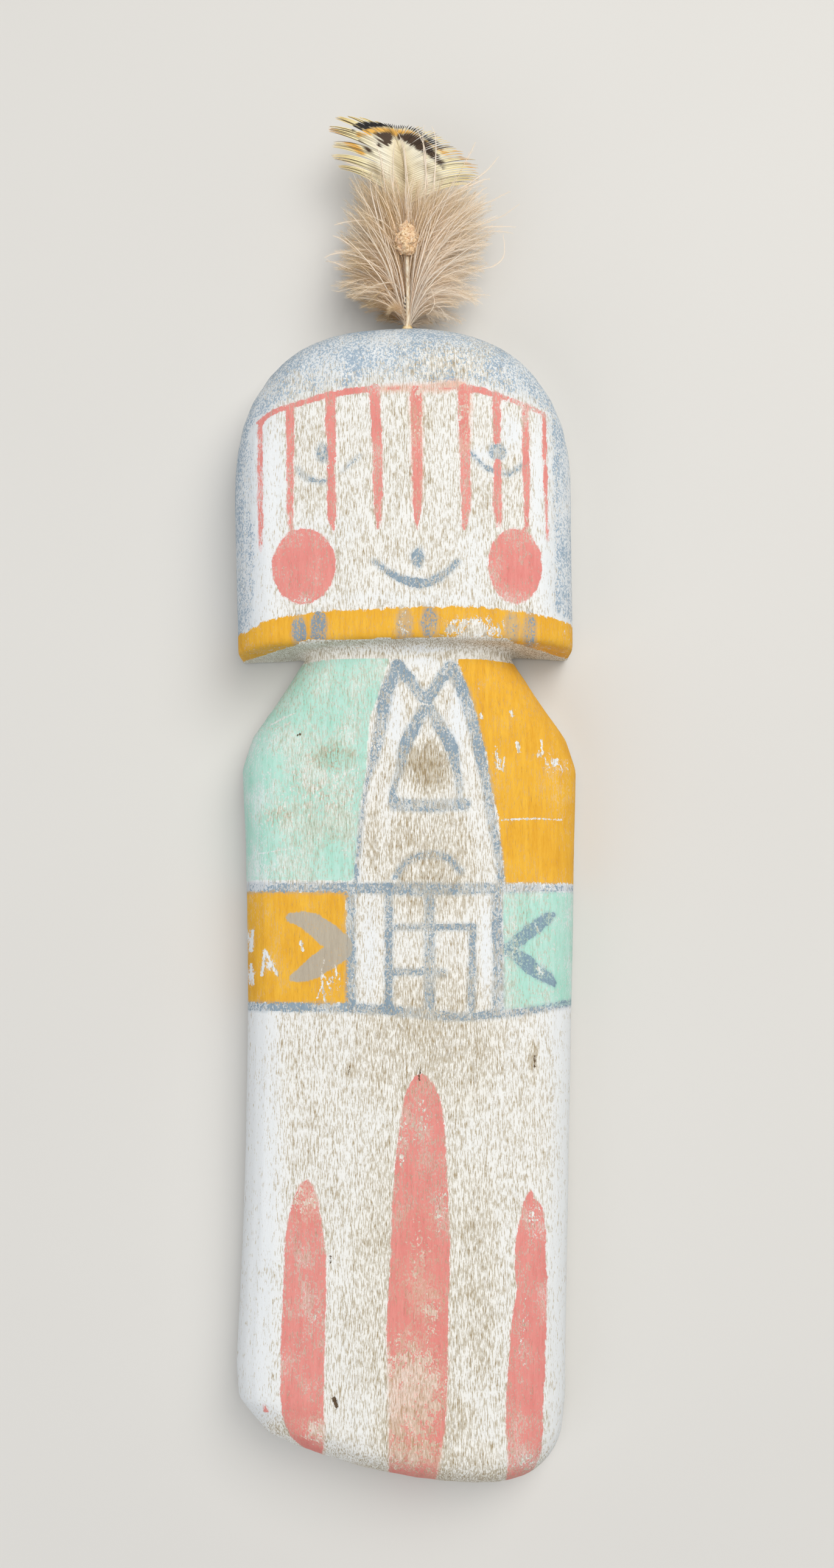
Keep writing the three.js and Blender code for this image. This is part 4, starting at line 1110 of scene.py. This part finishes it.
# The tip: flat barbs on both sides of the shaft, gathered in spikes on the left, a short fringe at the
# top and a comb on the right
tip = {
    "axis": [(0.3, 115.5), (-0.1, 121.0), (-0.9, 125.0), (-1.5, 127.6)],
    "ends": [
        (-11.0, 121.5), (-12.5, 124.0), (-12.5, 125.6), (-12.1, 126.5), (-13.0, 128.8),
        (-11.7, 130.8), (-9.9, 131.0), (-7.8, 130.9), (-4.8, 130.1), (-2.6, 129.8), (-1.2, 129.7),
        (0.2, 129.7), (1.7, 129.5), (3.0, 129.2), (4.6, 128.5), (6.7, 127.8), (8.2, 126.6),
        (10.0, 125.3), (11.2, 124.3), (12.3, 123.0), (12.7, 122.3), (14.0, 121.2), (13.6, 120.2),
        (12.0, 119.0),
    ],
    "topAt": 0.40,  # the share of the ends that lie on the left of the shaft
    "spikes": [0.02, 0.065, 0.115, 0.19, 0.25, 0.30, 0.345],  # shares along the ends where barbs gather
    "gather": 0.62,
    "teeth": [(0.41, 0.55, 0.009), (0.56, 1.0, 0.0135)],  # from, to and spacing on the top and the right
    "teethGather": 0.88,
    "barbs": 340,
    "rings": 12,
    "widths": [(0.0, 0.09), (0.16, 0.14), (0.34, 0.16), (0.40, 0.09), (0.54, 0.08), (1.0, 0.085)],
    # a band, its colour and how softly it ends, in millimetres
    "tones": [
        ("softShade", "#bda981", 0.60), ("ochreBand", "#efb956", 0.20), ("brownBand", "#4c3827", 0.20),
        ("blackBand", "#1d1815", 0.14),
    ],
    "bands": {
        "softShade": [
            [(-0.9, 125.2, 0.6), (-1.1, 123.6, 1.3), (-0.6, 121.9, 1.6), (0.2, 119.8, 1.2)],
            [(2.6, 122.6, 0.5), (4.2, 121.4, 0.7), (5.8, 120.0, 0.7)],
            [(-5.6, 122.4, 0.8), (-4.2, 120.4, 1.2)],
        ],
        "ochreBand": [
            [(-7.8, 127.6, 1.0), (-6.1, 128.2, 1.3), (-4.5, 128.5, 1.2), (-2.6, 128.2, 1.1),
             (-1.5, 127.9, 0.9), (0.2, 128.0, 0.8), (1.9, 127.5, 0.7), (3.0, 126.6, 0.7),
             (5.0, 125.6, 0.7), (7.6, 123.8, 0.6)],
            [(-12.9, 128.7, 0.9), (-9.5, 126.2, 1.0), (-7.0, 124.2, 0.8)],
            [(8.5, 124.9, 0.7), (11.6, 121.9, 1.0), (13.8, 120.9, 0.6)],
        ],
        "brownBand": [
            [(-4.8, 127.6, 0.8), (-2.8, 127.6, 1.5), (-3.4, 126.5, 1.7), (-4.5, 125.8, 0.8)],
            [(-0.8, 127.3, 0.8), (0.8, 127.0, 1.7), (2.4, 126.2, 2.0), (3.9, 125.0, 1.7),
             (5.0, 123.8, 1.1), (6.6, 122.0, 0.7)],
            [(-7.8, 126.6, 0.4), (-6.4, 125.2, 0.7), (-5.6, 124.2, 0.5)],
        ],
        "blackBand": [
            [(-8.6, 128.5, 0.9), (-7.0, 129.3, 1.3), (-5.3, 129.4, 1.1), (-3.7, 129.4, 0.8),
             (-2.0, 129.2, 0.7), (0.2, 129.0, 0.7), (1.9, 128.4, 0.6), (3.4, 127.3, 0.6),
             (4.8, 126.4, 0.8), (6.2, 125.2, 0.7)],
        ],
    },
}


def tipMaterial():
    # a contour feather's flat barbs: horny, slightly shiny, barred black, brown and ochre on cream
    material, add = newMaterial("barredVane")
    own = add(stored, {"attribute_name": "ownTint"}, out="Fac")
    climb = add(stored, {"attribute_name": "upBarb"}, out="Fac")
    stops = [(0.0, "#efdfb6"), (0.25, "#fdf6e0"), (0.62, "#fbeebb"), (1.0, "#f2d890")]
    colour = add(ramp, {"stops": stops}, Fac=climb)
    shift = add(ranger, i0=own, i3=-0.24, i4=0.24)
    for name, tone, soft in tip["tones"]:
        edge = add(maths, plus, i0=add(stored, {"attribute_name": name}, out="Fac"), i1=shift)
        inside = add(ranger, i0=edge, i1=soft, i2=-soft)
        colour = add(mixer, colours, out=2, i0=inside, i6=colour, i7=linearColour(tone))
    # a share of the barbs is darkened, most towards their ends, to draw dark lines between the barbs:
    # painted shade in the gaps
    paintedGapShade = add(ranger, i0=own, i1=0.70, i2=0.76)
    paintedGapShade = add(maths, times, i0=paintedGapShade, i1=add(ranger, i0=climb, i1=0.1, i2=0.7, i4=0.9))
    colour = add(mixer, darken, out=2, i0=paintedGapShade, i6=colour, i7=linearColour("#5a4836"))
    face = add(shiny, **{"Base Color": colour, "Roughness": 0.55, "Specular IOR Level": 0.35})
    through = add("ShaderNodeBsdfTranslucent", Color=colour)
    add("ShaderNodeOutputMaterial", Surface=add("ShaderNodeMixShader", i0=0.1, i1=face, i2=through))
    return material


def makeTip():
    barb = barTemplate("vaneBarbShape", 4, tip["rings"], 0.10)
    count = tip["barbs"]
    where = (np.arange(count) + 0.5 + random.uniform(-0.3, 0.3, count)) / count
    spikes = np.concatenate([tip["spikes"], *[np.arange(*teeth) for teeth in tip["teeth"]]])
    group = np.argmin(np.abs(where[:, None] - spikes), axis=1)
    nearest = spikes[group]
    pulled = np.where(where < tip["topAt"], tip["gather"], tip["teethGather"])
    shares = np.stack([where, where + (nearest - where) * pulled])
    even, reach = np.stack(placesAlong(tip["ends"], 6, shares), -1)
    onLeft = where < tip["topAt"]
    rise = np.where(onLeft, where / tip["topAt"], (1 - where) / (1 - tip["topAt"])) ** 0.85
    axis = throughPoints(tip["axis"], 6)
    axisShare = np.linspace(0, 1, len(axis))
    roots = np.stack([np.interp(rise, axisShare, line) for line in axis.T], -1)
    shorter = np.where(spikes < tip["topAt"], 1.0, random.uniform(0.88, 1.0, len(spikes)))[group]
    shorter = shorter * random.uniform(0.96, 1.0, count)
    reach = roots + (reach - roots) * shorter[:, None]
    span = np.linalg.norm(reach - roots, axis=1, keepdims=True)
    middles = roots * 0.4 + even * 0.6 + np.array((0, 1.0)) * 0.15 * span * (1 - 0.6 * rise[:, None])
    height = shaftZ + 0.4 + 0.35 * np.abs(np.sin(9 * where))
    starts = np.column_stack([roots, height - 0.5])
    middles = np.column_stack([middles, height + 0.3])
    paths = bezierPaths(starts, middles, np.column_stack([reach, height - 0.2]), tip["rings"])
    paths[:, :, 2] += (np.arange(count) % 4)[:, None] * 0.05  # each barb lies a little over the next
    widths = np.interp(where, *np.array(tip["widths"]).T) * random.uniform(0.85, 1.15, count)
    climb = evenClimb(count, tip["rings"])
    piece = growAlong("barredTip", barb, paths, widths, np.zeros(count), climb, flat=0.22)
    x, y = (pointsOf(piece) / mm).T[:2]
    for name, strokes in tip["bands"].items():
        addAttribute(piece, name, paintDistance(x, y, {"strokes": strokes}))
    finishPiece(piece, tipMaterial(), "plumage", "feather")
    bpy.data.objects.remove(barb)
    print("tip grown")


# The quill from its socket up to the lump, with a scrap of barred vane beside its foot
quill = {
    "side": [(0.0, -6.2), (0.0, 0.0), (0.08, 5.6), (0.0, 11.4)],  # x and y from the crown
    "height": [(-6.2, 0.0), (0.0, 0.0), (3.0, 0.8), (6.5, 2.3), (11.4, 4.6)],  # y from the crown and z
    "halfWidth": 0.44,
    "rings": 20,
    "scrapBarbs": 13,
    "scrapRings": 5,
    "scrapRise": (1.7, 5.4),
    "scrapReach": (-1.05, -0.6),  # how far its lowest and highest barb stand out to the left
    "scrapHalfWidth": 0.10,
}


def quillMaterial():
    # a quill is clear horn: ivory, smooth, with a soft shine and scraped, dirty patches
    material, add = newMaterial("ivoryQuill")
    place = add("ShaderNodeTexCoord", out="Object")
    stretched = add("ShaderNodeMapping", Vector=place, Scale=(3200.0, 420.0, 3200.0))
    scrapes = add(noise, Vector=stretched, Scale=1.0, Detail=3.0)
    colour = add(ramp, {"stops": [(0.32, "#d2b48c"), (0.60, "#f6ead2")]}, Fac=scrapes)
    bump = add("ShaderNodeBump", Strength=0.4, Distance=0.05 * mm, Height=scrapes)
    face = add(shiny, **{"Base Color": colour, "Roughness": 0.42, "IOR": 1.54, "Normal": bump})
    add("ShaderNodeOutputMaterial", Surface=face)
    return material


def scrapMaterial():
    # the scrap's barbs are by turns dark grey and pale
    material, add = newMaterial("greyBarredVane")
    bar = add(stored, {"attribute_name": "pale"}, out="Fac")
    colour = add(mixer, colours, out=2, i0=bar, i6=linearColour("#54504c"), i7=linearColour("#d8ccb4"))
    add("ShaderNodeOutputMaterial", Surface=add(shiny, **{"Base Color": colour, "Roughness": 0.6}))
    return material


def makeQuill():
    shape = barTemplate("quillShape", 12, quill["rings"], 0.72)
    side = throughPoints(quill["side"], 8)
    y = np.linspace(quill["side"][0][1], quill["side"][-1][1], quill["rings"])
    x = np.interp(y, side[:, 1], side[:, 0])
    z = np.interp(y, *np.array(quill["height"]).T)
    path = (np.stack([x, y, z], -1) + np.array((shaftX, crown, shaftZ)))[None]
    halfWidth = np.array([quill["halfWidth"]])
    tube = growAlong("quill", shape, path, halfWidth, np.zeros(1), evenClimb(1, quill["rings"]))
    tube.data.shade_smooth()
    finishPiece(tube, quillMaterial(), "plumage", "feather")
    bpy.data.objects.remove(shape)
    scrap = barTemplate("scrapShape", 4, quill["scrapRings"], 0.3)
    count = quill["scrapBarbs"]
    rise = np.linspace(*quill["scrapRise"], count)
    starts = np.stack([np.full(count, shaftX - 0.25), crown + rise, shaftZ + 0.4 + 0.34 * rise], -1)
    reach = np.linspace(*quill["scrapReach"], count)
    ends = starts + np.stack([reach, np.full(count, 0.75), np.full(count, 0.1)], -1)
    middles = (starts + ends) / 2 + np.array((-0.1, -0.1, 0.1))
    paths = bezierPaths(starts, middles, ends, quill["scrapRings"])
    widths = np.full(count, quill["scrapHalfWidth"])
    climb = evenClimb(count, quill["scrapRings"])
    barbs = growAlong("vaneScrap", scrap, paths, widths, np.arange(count) % 2, climb, flat=0.3)
    finishPiece(barbs, scrapMaterial(), "plumage", "feather")
    bpy.data.objects.remove(scrap)
    print("quill set")


# The crumbly lump where dry fibre is wound round the shaft
lump = {
    "meshSpacing": 0.12,
    "folds": dict(cell=(0.85, 1.0, 0.85), depth=1.25),
    "grit": dict(cell=(0.24, 0.30, 0.24), depth=0.40),
    "crumbs": 80,
    "crumbSize": (0.14, 0.38),
    "fibres": 260,
    "fibreRings": 6,
    "fibreLength": (0.8, 2.0),
    "fibreHalfWidth": (0.025, 0.05),
}


def lumpMaterial():
    # dry plant fibre stuck with old glue: matte cream and beige, with dark brown in its cracks
    material, add = newMaterial("dryCrumblyFibre")
    place = add("ShaderNodeTexCoord", out="Object")
    grit = add(noise, Vector=place, Scale=2400.0, Detail=4.0, Roughness=0.7)
    patches = add(noise, Vector=place, Scale=800.0, Detail=2.0)
    stops = [(0.33, "#7d5535"), (0.41, "#d9b184"), (0.53, "#f2d5ac"), (0.70, "#fbe9cf")]
    body = add(ramp, {"stops": stops}, Fac=grit)
    pink = add(ranger, i0=patches, i1=0.52, i2=0.66, i4=0.45)
    colour = add(mixer, colours, out=2, i0=pink, i6=body, i7=linearColour("#e2b596"))
    bump = add("ShaderNodeBump", Strength=0.8, Distance=0.08 * mm, Height=grit)
    face = add(shiny, **{"Base Color": colour, "Roughness": 0.9, "Normal": bump})
    add("ShaderNodeOutputMaterial", Surface=face)
    return material


def makeLump():
    piece = copyOfNode("shaft_lump", "fibreLump")
    applyModifier(piece, "evenSkin", "REMESH", mode="VOXEL", voxel_size=lump["meshSpacing"] * mm)
    stretchedDisplace(piece, "lumpFolds", **lump["folds"])
    stretchedDisplace(piece, "lumpGrit", **lump["grit"])
    skin = pointsOf(piece)
    for place in skin[random.integers(0, len(skin), lump["crumbs"])]:
        size = random.uniform(*lump["crumbSize"]) * mm
        bpy.ops.mesh.primitive_ico_sphere_add(subdivisions=2, radius=size / 2, location=place)
        crumb = bpy.context.object
        crumb.scale = (1.0, random.uniform(0.7, 1.5), random.uniform(0.7, 1.1))
        bpy.ops.object.transform_apply(location=True, rotation=False, scale=True)
        shape = pointsOf(crumb)
        shape += random.normal(0, 0.035 * size, shape.shape)
        movePoints(crumb, shape)
        piece.select_set(True)
        bpy.context.view_layer.objects.active = piece
        bpy.ops.object.join()
    bpy.ops.object.shade_smooth()
    finishPiece(piece, lumpMaterial(), "dry_fibre", "shaft_lump")
    fibre = barTemplate("fibreShape", 3, lump["fibreRings"], 0.4)
    count = lump["fibres"]
    starts = skin[random.integers(0, len(skin), count)] / mm
    outwards = starts - lumpMiddle
    outwards /= np.linalg.norm(outwards, axis=1, keepdims=True)
    lengths = random.uniform(*lump["fibreLength"], count)[:, None]
    drift = 0.10 * outwards + random.normal(0, 0.5, starts.shape) + np.array((0, 0.5, 0))
    ends = starts + drift * lengths * 0.6
    middles = (starts + ends) / 2 + outwards * 0.25 + random.normal(0, 0.15, starts.shape)
    paths = bezierPaths(starts, middles, ends, lump["fibreRings"])
    widths = random.uniform(*lump["fibreHalfWidth"], count)
    tone = random.uniform(0, 0.9, count)
    wound = growAlong("lumpFibres", fibre, paths, widths, tone, evenClimb(count, lump["fibreRings"]))
    finishPiece(wound, bpy.data.materials["buffDown"], "dry_fibre", "shaft_lump")
    bpy.data.objects.remove(fibre)
    print("lump wound")


# The bead of old glue that holds the quill in the crown
glue = {
    "meshSpacing": 0.09,
    "skirt": 0.6,  # how far its foot runs down on to the crown
    "shoulder": 0.62,  # how narrow its top is, as a share of its foot
    "boreRadius": 1.0,  # what lies nearer the quill than this closes on it
    "wobble": dict(cell=(0.8, 0.6, 0.8), depth=0.35),
    "melting": 8,
}


def glueMaterial():
    # old hide glue: honey yellow, half clear, its gloss dulled by dust
    material, add = newMaterial("driedHideGlue")
    place = add("ShaderNodeTexCoord", out="Object")
    dust = add(noise, Vector=place, Scale=1500.0, Detail=4.0)
    colour = add(ramp, {"stops": [(0.35, "#cda868"), (0.65, "#f0ddb4")]}, Fac=dust)
    gloss = add(ranger, i0=dust, i1=0.3, i2=0.7, i3=0.4, i4=0.75)
    bump = add("ShaderNodeBump", Strength=0.3, Distance=0.04 * mm, Height=dust)
    face = add(shiny, **{
        "Base Color": colour, "Roughness": gloss, "Normal": bump, "Subsurface Weight": 0.2,
        "Subsurface Scale": 0.4 * mm,
    })
    add("ShaderNodeOutputMaterial", Surface=face)
    return material


def makeGlue():
    piece = copyOfNode("glue_ring", "glueBead")
    places = pointsOf(piece) / mm
    middle = np.array((shaftX, shaftZ))
    spread = places[:, [0, 2]] - middle
    foot = places[:, 1] < glueLow.y / mm + 0.1
    places[foot, 1] -= glue["skirt"]
    hole = np.hypot(*spread.T) < glue["boreRadius"]
    spread[hole] *= 0.5
    spread[~foot & ~hole] *= glue["shoulder"]
    places[:, [0, 2]] = middle + spread
    movePoints(piece, places * mm)
    applyModifier(piece, "evenSkin", "REMESH", mode="VOXEL", voxel_size=glue["meshSpacing"] * mm)
    stretchedDisplace(piece, "glueWobble", **glue["wobble"])
    applyModifier(piece, "melted", "SMOOTH", factor=0.5, iterations=glue["melting"])
    selectOnly(piece)
    bpy.ops.object.shade_smooth()
    finishPiece(piece, glueMaterial(), "dried_glue", "glue_ring")
    print("glue set")


makeCamera()
makeStudio()
paintedFigure = makeFigure()
layOutPaint(paintedFigure)
selectOnly(paintedFigure)
bpy.ops.object.shade_smooth()
finishPiece(paintedFigure, paintedWoodMaterial(), "painted_wood", "carved_figure")
makeQuill()
makeDown()
makeTip()
makeLump()
makeGlue()
